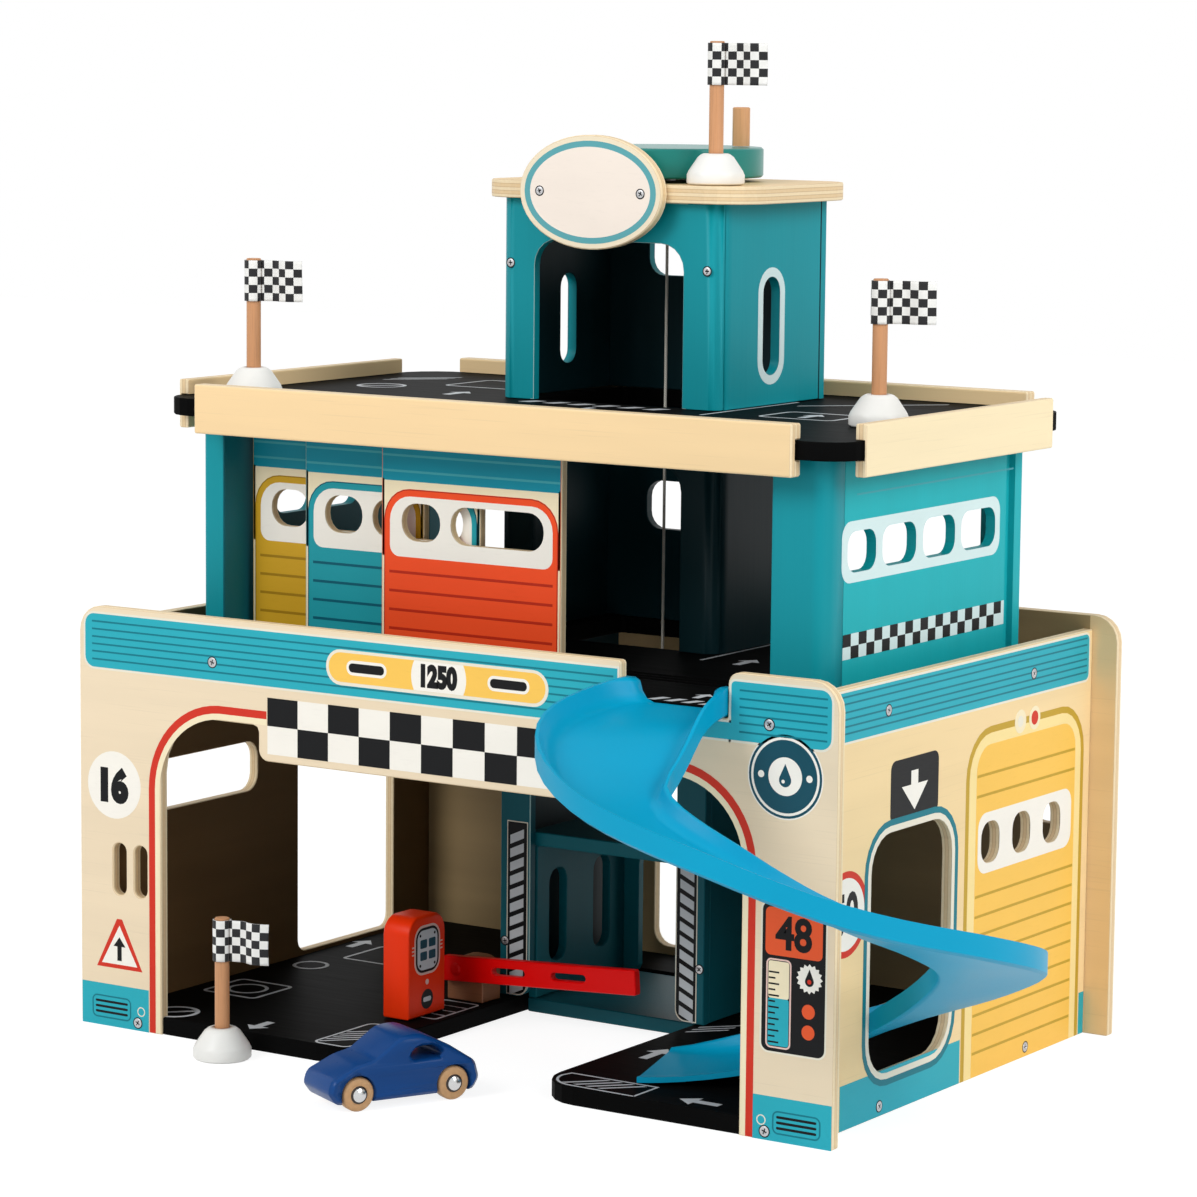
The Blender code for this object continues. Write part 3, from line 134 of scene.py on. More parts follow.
class Finish:
    """One material: a Principled shader and the nodes that vary it."""

    def __init__(self, name, roughness, constants=None):
        self.material = bpy.data.materials.new(name)
        self.material.use_nodes = True
        self.tree = self.material.node_tree
        self.tree.nodes.clear()
        self.shader = self.tree.nodes.new("ShaderNodeBsdfPrincipled")
        surface = self.tree.nodes.new("ShaderNodeOutputMaterial")
        self.tree.links.new(self.shader.outputs[0], surface.inputs[0])
        self.shader.inputs["Roughness"].default_value = roughness
        for key, value in (constants or {}).items():
            self.shader.inputs[key].default_value = value

    def put(self, socket, value):
        if isinstance(value, Value):
            self.tree.links.new(value.socket, socket)
        elif value is not None:
            socket.default_value = value

    def node(self, kind, settings=None, *values, take=0, named=None):
        """A node of that kind: its settings first, then its values or links, by place and by name."""
        made = self.tree.nodes.new(kind)
        for key, value in (settings or {}).items():
            setattr(made, key, value)
        for index, value in enumerate(values):
            self.put(made.inputs[index], value)
        for key, value in (named or {}).items():
            self.put(made.inputs[key], value)
        return Value(self, made.outputs[take])

    def sets(self, name, value):
        self.put(self.shader.inputs[name], value)

    def mix(self, share, first, second):
        values = (share, None, None, None, None, None, first, second)
        return self.node("ShaderNodeMix", {"data_type": "RGBA"}, *values, take=2)

    def vector(self, operation, *values, take=0, named=None):
        return self.node("ShaderNodeVectorMath", {"operation": operation}, *values, take=take, named=named)

    def part(self, vector, axis):
        """One of a vector's three numbers."""
        return self.node("ShaderNodeSeparateXYZ", None, vector, take=axis)

    def normal(self):
        return self.node("ShaderNodeTexCoord", take=1)

    def own_map(self):
        return self.node("ShaderNodeTexCoord", take=2)

    def place(self):
        return self.node("ShaderNodeTexCoord", take=3)

    def facing(self, axis):
        """How squarely the surface faces along an axis, from 0 to 1, by the piece's own normal."""
        return self.part(self.normal(), axis).maths("ABSOLUTE")

    def level(self, axis):
        """The place along an axis, in millimetres from the frame's origin."""
        return self.part(self.place(), axis) * 1000.0

    def noise(self, scales, detail, seed=0.0):
        """Noise with so many waves for each metre along the three axes."""
        start = (seed, seed * 0.7, seed * 1.3)
        moved = self.node("ShaderNodeMapping", None, self.place(), start, (0, 0, 0), scales)
        return self.node("ShaderNodeTexNoise", None, moved, named={"Scale": 1.0, "Detail": detail})

    def bump(self, height, strength, distance):
        named = {"Strength": strength, "Distance": distance, "Height": height}
        self.sets("Normal", self.node("ShaderNodeBump", None, named=named))


def grain(run, along, across):
    """Noise scales that are stretched along one axis."""
    scales = [across, across, across]
    scales[run] = along
    return tuple(scales)


PLY_PALE = colour(246, 228, 192)
PLY_DARK = colour(226, 194, 146)
PLY_GLUE = colour(168, 124, 80)
# A pale teal painted highlight along the chamfered corners of the doorways.
RIM_HIGHLIGHT = colour(176, 214, 210)
BOARD_ROUGHNESS = 0.46
INK_ROUGHNESS = 0.4


def board(name, node, face, run, plies=0, wood=False, inside=None, highlight_span=None):
    """A flat board: its printed or bare faces, and its plies where its thickness shows and isn't painted.

    inside is the painted shade colour of the face that looks into the garage, which way along the board's
    thickness it looks, and how far across the garage it is in shade. highlight_span is the stretch across
    the garage in which the chamfered corner is painted pale under the paint's edge, a painted highlight.
    """
    low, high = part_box(node)
    sizes = [high[i] - low[i] for i in range(3)]
    thin = sizes.index(min(sizes))
    made = Finish(name, BOARD_ROUGHNESS, {"Specular IOR Level": 0.18})
    broad = made.noise(grain(run, 5.0, 60.0), 2.0, low[thin])
    fine = made.noise(grain(run, 22.0, 1300.0), 3.0, low[thin] + 3.1)
    if wood:
        streak = made.mix(broad, scaled(face, 0.9), scaled(face, 1.07))
        surface = made.mix(fine.eased(0.58, 0.74) * 0.28, streak, scaled(face, 0.8))
    else:
        streak = made.mix(broad, scaled(face, 0.93), scaled(face, 1.05))
        surface = made.mix(fine.eased(0.5, 0.8) * 0.16, streak, scaled(face, 0.82))
    flat = made.facing(thin)
    if inside:
        tone, way, last = inside
        # Painted shade: the face that looks inwards takes the darker inside tone.
        inner = made.part(made.normal(), thin) * way > 0.5
        if last:
            inner = inner * (made.level(X) < last)
        surface = made.mix(inner, surface, made.mix(broad, scaled(tone, 0.8), scaled(tone, 1.15)))
    if plies:
        depth = (made.level(thin) - low[thin] * 1000) * (plies / (sizes[thin] * 1000))
        glue = (depth.maths("FRACT") - 0.5).maths("ABSOLUTE").eased(0.38, 0.48)
        odd = depth.maths("FLOOR").maths("MODULO", 2.0).maths("ABSOLUTE")
        fibre = made.noise((700.0, 700.0, 700.0), 2.0, 5.0)
        layer = made.mix(odd * 0.5 + fibre * 0.4, PLY_PALE, PLY_DARK)
        surface = made.mix(flat < 0.85, surface, made.mix(glue * 0.55, layer, PLY_GLUE))
    # Painted highlight: the chamfered corners in this stretch are painted pale.
    if highlight_span:
        across = made.level(X)
        corner = (flat > 0.35) * (flat < 0.93) * (across > highlight_span[0]) * (across < highlight_span[1])
        surface = made.mix(corner, surface, RIM_HIGHLIGHT)
    made.sets("Base Color", surface)
    made.sets("Roughness", fine * 0.14 + (BOARD_ROUGHNESS - 0.07))
    made.bump(fine, 0.25 if wood else 0.16, 0.00008)
    return made


def painted(name, tone, roughness=0.34, coat=0.0, run=Z, mottle=0.07):
    """Satin paint or lacquer on turned or shaped wood, through which a little grain shows."""
    made = Finish(name, roughness, {"Coat Weight": coat, "Coat Roughness": 0.2, "Specular IOR Level": 0.16})
    broad = made.noise(grain(run, 20.0, 90.0), 2.0, 1.0)
    fine = made.noise(grain(run, 60.0, 900.0), 3.0, 2.0)
    made.sets("Base Color", made.mix(broad, scaled(tone, 1 - mottle), scaled(tone, 1 + mottle)))
    made.sets("Roughness", fine * 0.12 + (roughness - 0.06))
    made.bump(fine, 0.15, 0.00008)
    return made


def bare_wood(name, tone, run):
    """Sanded solid wood with its figure along one axis, and pores on the end grain."""
    made = Finish(name, 0.55, {"Coat Weight": 0.05})
    broad = made.noise(grain(run, 12.0, 240.0), 3.0, 4.0)
    fine = made.noise(grain(run, 40.0, 1700.0), 3.0, 6.0)
    body = made.mix(broad, scaled(tone, 0.84), scaled(tone, 1.12))
    made.sets("Base Color", made.mix(fine.eased(0.52, 0.72) * 0.35, body, scaled(tone, 0.6)))
    made.sets("Roughness", fine * 0.2 + 0.42)
    made.bump(fine, 0.3, 0.00012)
    return made


def metal(name, tone, roughness):
    made = Finish(name, roughness, {"Metallic": 1.0})
    cloud = made.noise((900.0, 900.0, 900.0), 2.0)
    made.sets("Base Color", made.mix(cloud, scaled(tone, 0.8), scaled(tone, 1.1)))
    made.sets("Roughness", cloud * 0.16 + (roughness - 0.06))
    return made


def black_board(name):
    """The black lacquered boards that the roads are printed on."""
    made = Finish(name, 0.45, {"Specular IOR Level": 0.012})
    broad = made.noise(grain(X, 6.0, 30.0), 2.0, 1.0)
    fine = made.noise(grain(X, 30.0, 900.0), 3.0, 2.0)
    made.sets("Base Color", made.mix(broad, colour(7, 7, 7), colour(15, 15, 15)))
    made.sets("Roughness", fine * 0.16 + 0.42)
    made.bump(fine, 0.12, 0.00008)
    return made


def moulded(name, tone):
    """The ramp's dyed plastic: even colour, a faint flow mottle and a fine moulded skin."""
    made = Finish(name, 0.4, {"Specular IOR Level": 0.14})
    broad = made.noise((14.0, 14.0, 30.0), 2.0)
    skin = made.noise((2600.0, 2600.0, 2600.0), 2.0, 3.0)
    made.sets("Base Color", made.mix(broad, scaled(tone, 0.93), scaled(tone, 1.06)))
    made.sets("Roughness", skin * 0.12 + broad * 0.08 + 0.3)
    made.bump(skin, 0.1, 0.00004)
    return made


def wheel(name, axle, direction):
    """A wooden wheel with a metal hub cap in a dark ring, coloured by the distance from its axle."""
    made = Finish(name, 0.5)
    away = made.vector("SUBTRACT", made.place(), axle)
    along = made.vector("DOT_PRODUCT", away, direction, take=1)
    stem = made.vector("SCALE", direction, named={"Scale": along})
    radius = made.vector("LENGTH", made.vector("SUBTRACT", away, stem), take=1) * 1000.0
    outside = along.maths("ABSOLUTE") * 1000.0
    fibre = made.noise((500.0, 500.0, 500.0), 3.0)
    tone = colour(206, 160, 112)
    wood = made.mix(fibre, scaled(tone, 0.8), scaled(tone, 1.15))
    hub = (radius < 3.0) * (outside > 6.0)
    ring = (radius < 3.9) * (outside > 6.0)
    surface = made.mix(ring, wood, colour(40, 28, 20))
    made.sets("Base Color", made.mix(hub, surface, colour(205, 205, 205)))
    made.sets("Metallic", hub)
    made.sets("Roughness", 0.5 - hub * 0.26)
    made.bump(fibre, 0.12, 0.0001)
    return made


def ink(name, tone):
    """Printed ink: thin enough that the board's grain still breaks its colour a little."""
    made = Finish(name, INK_ROUGHNESS, {"Specular IOR Level": 0.14})
    fine = made.noise((160.0, 160.0, 900.0), 3.0, 2.0)
    broad = made.noise((25.0, 25.0, 60.0), 2.0, 8.0)
    surface = made.mix(broad, scaled(tone, 0.95), scaled(tone, 1.04))
    made.sets("Base Color", made.mix(fine.eased(0.55, 0.8) * 0.2, surface, scaled(tone, 0.84)))
    made.sets("Roughness", fine * 0.14 + (INK_ROUGHNESS - 0.07))
    made.bump(fine, 0.1, 0.00006)
    return made


def checked(name, long, high):
    """Thin white cloth printed with black squares, on the cloth's own map."""
    made = Finish(name, 0.85, {"Sheen Weight": 0.15})
    flat = made.own_map()
    u = made.part(flat, X)
    v = made.part(flat, Y)
    square = ((u * (1 / long)).maths("FLOOR") + (v * (1 / high)).maths("FLOOR")).maths("MODULO", 2.0)
    black = square.maths("ABSOLUTE") > 0.5
    warp = (u * 5200.0).maths("SINE")
    weft = (v * 5200.0).maths("SINE")
    thread = warp * weft * 0.5 + 0.5
    cloud = made.noise((120.0, 120.0, 120.0), 2.0)
    white = made.mix(cloud, colour(226, 226, 222), colour(246, 246, 243))
    made.sets("Base Color", made.mix(black, white, colour(24, 24, 27)))
    made.sets("Roughness", thread * 0.1 + 0.8)
    made.bump(thread, 0.3, 0.00005)
    return made


def twisted(name, tone):
    """A thin twisted cord, on the cord's own map."""
    made = Finish(name, 0.8)
    flat = made.own_map()
    turns = made.part(flat, X) * 3.0 + made.part(flat, Y) * 900.0
    strand = (turns * math.tau).maths("SINE") * 0.5 + 0.5
    made.sets("Base Color", made.mix(strand, scaled(tone, 0.72), scaled(tone, 1.05)))
    made.sets("Roughness", strand * 0.1 + 0.75)
    made.bump(strand, 0.5, 0.0002)
    return made


# Shapes

def linked(name, data):
    """A new object at the origin, in the scene."""
    made = bpy.data.objects.new(name, data)
    bpy.context.scene.collection.objects.link(made)
    return made


def piece(name, maker, finish, body, smooth=False):
    """A finished mesh that rides on a body."""
    mesh = bpy.data.meshes.new(name)
    maker.to_mesh(mesh)
    maker.free()
    mesh.materials.append(finish.material)
    if smooth:
        mesh.shade_smooth()
    made = linked(name, mesh)
    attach(made, body)
    return made


def arc(a, b, radius, start, stop, steps):
    points = []
    for step in range(steps + 1):
        angle = math.radians(start + (stop - start) * step / steps)
        points.append((a + radius * math.cos(angle), b + radius * math.sin(angle)))
    return points


def circle(a, b, radius, steps=40):
    return arc(a, b, radius, 0, 360 - 360 / steps, steps - 1)


def ellipse(a, b, half_a, half_b, steps=64):
    turns = [math.tau * i / steps for i in range(steps)]
    return [(a + half_a * math.cos(turn), b + half_b * math.sin(turn)) for turn in turns]


def drop(a, b, radius, tip, steps):
    """Most of a circle, and a tip above it."""
    return arc(a, b, radius, 150, 390, steps) + [(a, tip)]


def rounded(low_a, low_b, high_a, high_b, radius=0.0, steps=6):
    """A box with round corners; radius is one number, or four from the bottom left, anticlockwise."""
    radii = radius if isinstance(radius, tuple) else (radius,) * 4
    corners = ((low_a, low_b, 1, 1, 180), (high_a, low_b, -1, 1, 270),
               (high_a, high_b, -1, -1, 0), (low_a, high_b, 1, -1, 90))
    points = []
    for (a, b, way_a, way_b, start), r in zip(corners, radii):
        if r <= 0:
            points.append((a, b))
        else:
            points += arc(a + way_a * r, b + way_b * r, r, start, start + 90, steps)
    return points


def ordered(sign, first, second):
    """Two places along a panel, the lower one first, turned over where the panel runs backwards."""
    return sorted((first * sign, second * sign))


def area_of(loop):
    return sum(loop[i - 1][0] * loop[i][1] - loop[i][0] * loop[i - 1][1] for i in range(len(loop))) / 2


def beside(points, distance, closed):
    """The same line, moved to its left."""
    line = [Vector(p) for p in points]
    count = len(line)
    moved = []
    for index, here in enumerate(line):
        sides = []
        if closed or index:
            way = (here - line[index - 1]).normalized()
            sides.append(Vector((-way.y, way.x)))
        if closed or index + 1 < count:
            way = (line[(index + 1) % count] - here).normalized()
            sides.append(Vector((-way.y, way.x)))
        middle = sum(sides, Vector((0.0, 0.0))).normalized()
        moved.append(tuple(here + middle * (distance / max(0.4, middle.dot(sides[0])))))
    return moved


# The ink of every panel, one mesh for each body and tone
printed = {}


class Panel:
    """A flat face that carries print: its body, and where its two axes start and run in the drawing."""

    def __init__(self, body, start, across, up):
        self.body = body
        self.start = Vector(start)
        self.across = Vector(across)
        self.up = Vector(up)
        self.out = self.across.cross(self.up)

    def at(self, a, b, height):
        point = self.start + self.across * a + self.up * b + self.out * height
        return (point - ORIGIN) * MM

    def maker(self, tone):
        if (self.body, tone) not in printed:
            printed[(self.body, tone)] = bmesh.new()
        return printed[(self.body, tone)]

    def fill(self, tone, outline, layer=1, holes=()):
        """One area of ink as a thin closed slab."""
        maker = self.maker(tone)
        loops = [outline if area_of(outline) > 0 else outline[::-1]]
        loops += [hole if area_of(hole) < 0 else hole[::-1] for hole in holes]
        points = [point for loop in loops for point in loop]
        tops = [maker.verts.new(self.at(a, b, INK_LAYER * layer)) for a, b in points]
        feet = [maker.verts.new(self.at(a, b, -INK_SINK)) for a, b in points]
        for corners in tessellate_polygon([[Vector((a, b, 0.0)) for a, b in loop] for loop in loops]):
            turn = area_of([points[i] for i in corners])
            if abs(turn) < 1e-9:
                continue
            order = corners if turn > 0 else corners[::-1]
            maker.faces.new([tops[i] for i in order])
            maker.faces.new([feet[i] for i in reversed(order)])
        first = 0
        for loop in loops:
            for index in range(len(loop)):
                here = first + index
                following = first + (index + 1) % len(loop)
                maker.faces.new((feet[here], feet[following], tops[following], tops[here]))
            first += len(loop)

    def box(self, tone, low_a, low_b, high_a, high_b, radius=0.0, layer=1, holes=(), steps=6):
        self.fill(tone, rounded(low_a, low_b, high_a, high_b, radius, steps), layer, holes)

    def stripe(self, tone, low_a, high_a, level, half, layer=1):
        self.box(tone, low_a, level - half, high_a, level + half, layer=layer)

    def disc(self, tone, a, b, radius, layer=1, steps=40):
        self.fill(tone, circle(a, b, radius, steps), layer)

    def line(self, tone, points, width, layer=1):
        left = beside(points, width / 2, False)
        right = beside(points, -width / 2, False)
        self.fill(tone, left + right[::-1], layer)

    def ring(self, tone, points, width, layer=1):
        """A line that closes on itself."""
        sides = [beside(points, width / 2, True), beside(points, -width / 2, True)]
        inner, outer = sorted(sides, key=lambda side: abs(area_of(side)))
        self.fill(tone, outer, layer, [inner])

    def arrow(self, tone, a, b, length, width, heading, layer=1):
        """A road arrow from its tail, pointing along heading in degrees."""
        shape = [(0, -0.18), (0.6, -0.18), (0.6, -0.5), (1, 0), (0.6, 0.5), (0.6, 0.18), (0, 0.18)]
        turn = Matrix.Rotation(math.radians(heading), 2)
        tail = Vector((a, b))
        self.fill(tone, [tuple(tail + turn @ Vector((u * length, v * width))) for u, v in shape], layer)

    def hatch(self, tone, low_a, low_b, high_a, high_b, pitch, width):
        """Slanting strokes inside a box, each of them whole."""
        wide = high_a - low_a > high_b - low_b
        rise = high_b - low_b if wide else high_a - low_a
        here, end = (low_a, high_a) if wide else (low_b, high_b)
        while here + width + rise <= end + 0.01:
            foot, head = here + width, here + rise
            if wide:
                stroke = [(here, low_b), (foot, low_b), (foot + rise, high_b), (head, high_b)]
            else:
                stroke = [(low_a, here), (high_a, head), (high_a, head + width), (low_a, foot)]
            self.fill(tone, stroke)
            here += pitch

    def number(self, tone, text, low_a, low_b, high_a, high_b, layer, weight):
        """Plain figures, fitted into a box."""
        letters = bpy.data.curves.new("figures", "FONT")
        letters.body = text
        letters.extrude = 1.0
        letters.offset = weight
        letters.resolution_u = 4
        carrier = bpy.data.objects.new("figures", letters)
        mesh = bpy.data.meshes.new_from_object(carrier)
        shape = bmesh.new()
        shape.from_mesh(mesh)
        bmesh.ops.remove_doubles(shape, verts=shape.verts, dist=0.0001)
        low = Vector((min(v.co[i] for v in shape.verts) for i in range(3)))
        high = Vector((max(v.co[i] for v in shape.verts) for i in range(3)))
        maker = self.maker(tone)
        made = {}
        for vert in shape.verts:
            share = [(vert.co[i] - low[i]) / (high[i] - low[i]) for i in range(3)]
            height = INK_LAYER * layer if share[2] > 0.5 else -INK_SINK
            place = self.at(low_a + (high_a - low_a) * share[0], low_b + (high_b - low_b) * share[1], height)
            made[vert.index] = maker.verts.new(place)
        for face in shape.faces:
            maker.faces.new([made[v.index] for v in face.verts])
        shape.free()
        bpy.data.objects.remove(carrier)
        bpy.data.curves.remove(letters)
        bpy.data.meshes.remove(mesh)


ALONG_X = (1, 0, 0)
ALONG_Y = (0, 1, 0)
ALONG_Z = (0, 0, 1)
BACK_X = (-1, 0, 0)
BACK_Y = (0, -1, 0)


# Boards and other bodies from the frame

NATURAL = colour(238, 219, 188)
NATURAL_WARM = colour(246, 214, 164)
NATURAL_SIDE = colour(246, 218, 166)
# Painted shade: the birch of the faces that look into the garage, darkened for the shade inside it.
SHADE_BIRCH_DEEP = colour(118, 90, 56)
SHADE_BIRCH = colour(176, 150, 108)
TEAL = colour(10, 108, 120)
TEAL_BRIGHT = colour(8, 148, 160)
# Painted light: the same teal made brighter for the upper right wall, which faces the lamp.
TEAL_PAINTED_LIGHT = colour(22, 176, 184)
DEEP_TEAL = colour(10, 92, 104)
SHADE_TEAL = colour(8, 44, 50)
# Each sliding door's paint, and the darker tone of its lines
DOOR_TONES = {"door_red": ((246, 82, 38), (186, 44, 20)),
              "door_blue": ((34, 156, 168), (8, 92, 110)),
              "door_yellow": ((212, 166, 42), (164, 126, 24))}
# Each flag's place, the height of its pole's end, its heading in degrees and the start of its sway
FLAGS = {"flag_roof": (250.5, 140.5, 450.9, 8, 0.2),
         "flag_deck_left": (56.0, 57.0, 351.0, 12, 1.1),
         "flag_deck_right": (352.0, 112.0, 351.0, 20, 2.0),
         "flag_ground": (96.5, -18.0, 63.5, 5, 2.9)}
# The back panel's outer strip lies past the right panel, in the light.
BACK_SHADE_END = 386 - ORIGIN.x
# The stretch across the garage in which the doorways' corners get their painted highlight.
DOORWAY_SPAN = (159 - ORIGIN.x, 243 - ORIGIN.x)

finishes = {}
# The last column is each board's inner face in painted shade: its tone, which way it looks and where the
# shade ends.
for node, tone, run, plies, inside in (
        ("front_panel", NATURAL, X, 3, (SHADE_BIRCH, 1, None)),
        ("back_panel", NATURAL_WARM, X, 3, (SHADE_BIRCH, -1, BACK_SHADE_END)),
        ("left_panel", NATURAL_SIDE, Y, 3, (SHADE_BIRCH_DEEP, 1, None)),
        ("right_panel", NATURAL_SIDE, Y, 3, (SHADE_BIRCH_DEEP, -1, None)),
        ("parapet_front", NATURAL_WARM, X, 5, None),
        ("parapet_back", NATURAL_WARM, X, 5, None),
        ("parapet_left", NATURAL_WARM, Y, 3, None),
        ("parapet_right", colour(248, 230, 190), Y, 3, None),
        ("tower_roof", NATURAL_WARM, X, 5, None)):
    finishes[node] = board("birch_" + node, node, tone, run, plies, True, inside)
finishes["sign_plate"] = board("sign_board", "sign_plate", colour(246, 232, 204), X, 3, True)


def teal_board(paint, node, tone, shade=None, way=0):
    """A board painted all over; way says which of its faces looks inwards and has the shade's tone, a
    painted shade.
    """
    inside = (shade, way, None) if way else None
    highlight_span = DOORWAY_SPAN if node in ("tower_front", "gate_front") else None
    finishes[node] = board(paint + node, node, tone, Z, inside=inside, highlight_span=highlight_span)


for node, way in (("tower_front", 1), ("tower_back", -1), ("tower_left", 1), ("tower_right", -1)):
    teal_board("teal_", node, TEAL_BRIGHT, SHADE_TEAL, way)
# The upper walls' inner faces take the plain teal as painted shade.
teal_board("teal_", "upper_wall_left", TEAL_BRIGHT, TEAL, 1)
# The right upper wall's face takes the brighter teal: painted light from the lamp on that side.
teal_board("teal_", "upper_wall_right", TEAL_PAINTED_LIGHT, TEAL, -1)
teal_board("teal_", "upper_post_right", TEAL_BRIGHT)
for node in ("cabin_left", "cabin_right", "cabin_back", "cabin_roof"):
    teal_board("teal_", node, TEAL)
# Painted shade: the middle storey's shaft is painted all over in the shade tone.
for side, way in (("front", 1), ("back", -1), ("left", 1), ("right", -1)):
    teal_board("deep_teal_", "mid_shaft_" + side, SHADE_TEAL, SHADE_TEAL, way)
for node, way in (("gate_front", 1), ("gate_left", 1), ("gate_right", -1), ("cabin_floor", 0)):
    teal_board("deep_teal_", node, DEEP_TEAL, SHADE_TEAL, way)
for node, tones in DOOR_TONES.items():
    finishes[node] = board("print_" + node, node, colour(*tones[0]), X, 3)
for node in ("base_plate", "storey_floor", "roof_deck"):
    finishes[node] = black_board("black_" + node)
finishes["crank_disc"] = painted("teal_crank", colour(20, 128, 120), 0.35, 0.3, X)
finishes["crank_peg"] = bare_wood("peg_wood", colour(214, 158, 108), Z)
finishes["ramp"] = moulded("ramp_plastic", colour(0, 156, 196))
finishes["pump"] = painted("pump_red", colour(250, 56, 10))
finishes["barrier_arm"] = painted("barrier_red", colour(236, 4, 4), run=X)
finishes["barrier_pin"] = finishes["barrier_arm"]
finishes["barrier_block"] = bare_wood("block_wood", colour(140, 88, 54), X)
finishes["car_body"] = painted("car_blue", colour(14, 68, 132), 0.3, run=Y, mottle=0.03)
# The way that both axles of the car lie
HEADING = (0.891007, -0.453990, 0.0)
finishes["car_front_wheels"] = wheel("front_wheels", (-0.052337, -0.124053, 0.0074), HEADING)
finishes["car_rear_wheels"] = wheel("rear_wheels", (-0.031771, -0.08369, 0.0074), HEADING)
steel = metal("screw_steel", (0.55, 0.55, 0.56, 1.0), 0.36)
# Painted shade: the dark of the countersinks and cross cuts round the screws.
screw_recess = painted("screw_recess", colour(22, 24, 26), 0.5)
finishes["cord_eye"] = steel
finishes["crank_spool"] = steel
flag_white = painted("flag_base_white", colour(238, 238, 234), 0.4, 0.2)
flag_wood = bare_wood("flag_dowel", colour(206, 148, 102), Z)
for flag in FLAGS:
    finishes[flag + "_base"] = flag_white
    finishes[flag + "_pole"] = flag_wood
for node, finish in finishes.items():
    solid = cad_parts[node]
    if not solid.material_slots:
        solid.data.materials.append(None)
    for place in solid.material_slots:
        place.material = finish.material


def smoothed(node, body):
    """A merged copy of a rounded solid that shades as the round it is, where the solid shows its flats."""
    maker = bmesh.new()
    maker.from_mesh(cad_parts[node].data)
    bmesh.ops.remove_doubles(maker, verts=maker.verts, dist=0.000002)
    made = piece("round_" + node, maker, finishes[node], body, smooth=True)
    made.data.set_sharp_from_angle(angle=math.radians(32))
    weigh = made.modifiers.new("weigh", "WEIGHTED_NORMAL")
    weigh.keep_sharp = True
    bpy.context.view_layer.update()
    mesh = bpy.data.meshes.new_from_object(made.evaluated_get(bpy.context.evaluated_depsgraph_get()))
    made.modifiers.remove(weigh)
    made.data = mesh
    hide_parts(node)


for body, slot, nodes in (
        ("garage", "ramp_blue", ("ramp",)),
        ("car", "car_blue", ("car_body",)),
        ("fuel_pump", "red_paint", ("pump",)),
        ("crank", "teal_paint", ("crank_disc",)),
        ("crank", "dowel", ("crank_peg",)),
        ("front_wheels", "dowel", ("car_front_wheels",)),
        ("rear_wheels", "dowel", ("car_rear_wheels",)),
        ("garage", "teal_paint", ("tower_front", "tower_left", "tower_right")),
        ("garage", "deep_teal_paint", ("mid_shaft_front", "mid_shaft_right")),
        ("garage", "teal_paint", ("upper_wall_left", "upper_post_right"))):
    for node in nodes:
        smoothed(node, body)
for flag in FLAGS:
    smoothed(flag + "_base", flag)
    smoothed(flag + "_pole", flag)


# The bands along the tops and the feet of the walls

def skirting(panel, low_a, high_a, high_b, vent, dot):
    """The teal foot of a wall, with a ring round its screw and a printed vent: left, bottom, right, top."""
    left, bottom, right, top = vent
    panel.box("teal", low_a, 0, high_a, high_b)
    panel.ring("teal_line", rounded(left, bottom, right, top, 2.5), 0.7, 2)
    for share in (0.25, 0.5, 0.75):
        level = bottom + (top - bottom) * share
        panel.box("black", left + 1.6, level - 0.55, right - 1.6, level + 0.55, 0.5, 2, steps=2)
    panel.ring("pale", circle(*dot, 2.0, 20), 0.5, 2)


def cornice(panel, low_a, high_a, low_b, high_b, levels, radii):
    """The teal band along the top of a wall, with its pale outline and darker siding lines."""
    outer = tuple(r + 1 if r else 0 for r in radii)
    panel.box("pale", low_a - 1, low_b - 1, high_a + 1, high_b + 1, outer)
    panel.box("teal", low_a, low_b, high_a, high_b, radii, 2)
    for level in levels:
        panel.stripe("teal_line", low_a + 4, high_a - 2, level, 0.4, 3)


# Front panel

front = Panel("garage", (0, FRONT_FACE, 0), ALONG_X, ALONG_Z)
FRONT_LINES = (187.0, 183.5, 180.0, 176.7, 173.3, 169.7)
cornice(front, 3.5, 292.6, 166, 190.5, FRONT_LINES, (5, 0, 0, 5))
cornice(front, 348.6, 396.5, 166, 190.5, FRONT_LINES, (0, 5, 5, 2))
front.box("pale", 292.6, 165, 348.6, 174)
front.box("teal", 292.6, 166, 348.6, 173.1, layer=2)
skirting(front, 0.5, 39.7, 19.6, (6.8, 3.8, 29, 13.8), (35.3, 9))
skirting(front, 361.5, 399.5, 18.8, (371.5, 3.5, 394, 12.8), (365.8, 8.3))

# The capsule with its plate number
plate = (201, 178.2, 14.5)
capsule_top = 184.8
front.box("pale", 140.5, 170.3, 258, 186.1, 7.8, 4)
front.box("yellow", 142, 171.8, 256.5, capsule_top, 6.4, 5)
half_top = math.degrees(math.asin((capsule_top - plate[1]) / plate[2]))
plate_right = arc(*plate, -half_top + 1, half_top, 8)
plate_left = arc(*plate, 180 - half_top, 180 + half_top - 1, 8)
front.fill("white", plate_right + plate_left, 6)
front.number("black", "1250", 191.6, 173.2, 210.9, 183.8, 7, 0.07)
for low in (153, 228):
    front.box("white", low - 1.3, 175.2, low + 20.3, 181.8, 3.2, 6)
    front.box("black", low, 176.5, low + 19, 180.5, 1.9, 7, steps=4)

# The checkered lintel
CHECK_WIDE = 16.75
CHECK_HIGH = 12.65
front.box("white", 108, 135.7, 292.2, 161)
for column in range(11):
    low = 108 + column * CHECK_WIDE
    row = 135.7 if column % 2 else 148.35
    front.box("black", low, row, low + CHECK_WIDE, row + CHECK_HIGH, layer=2)

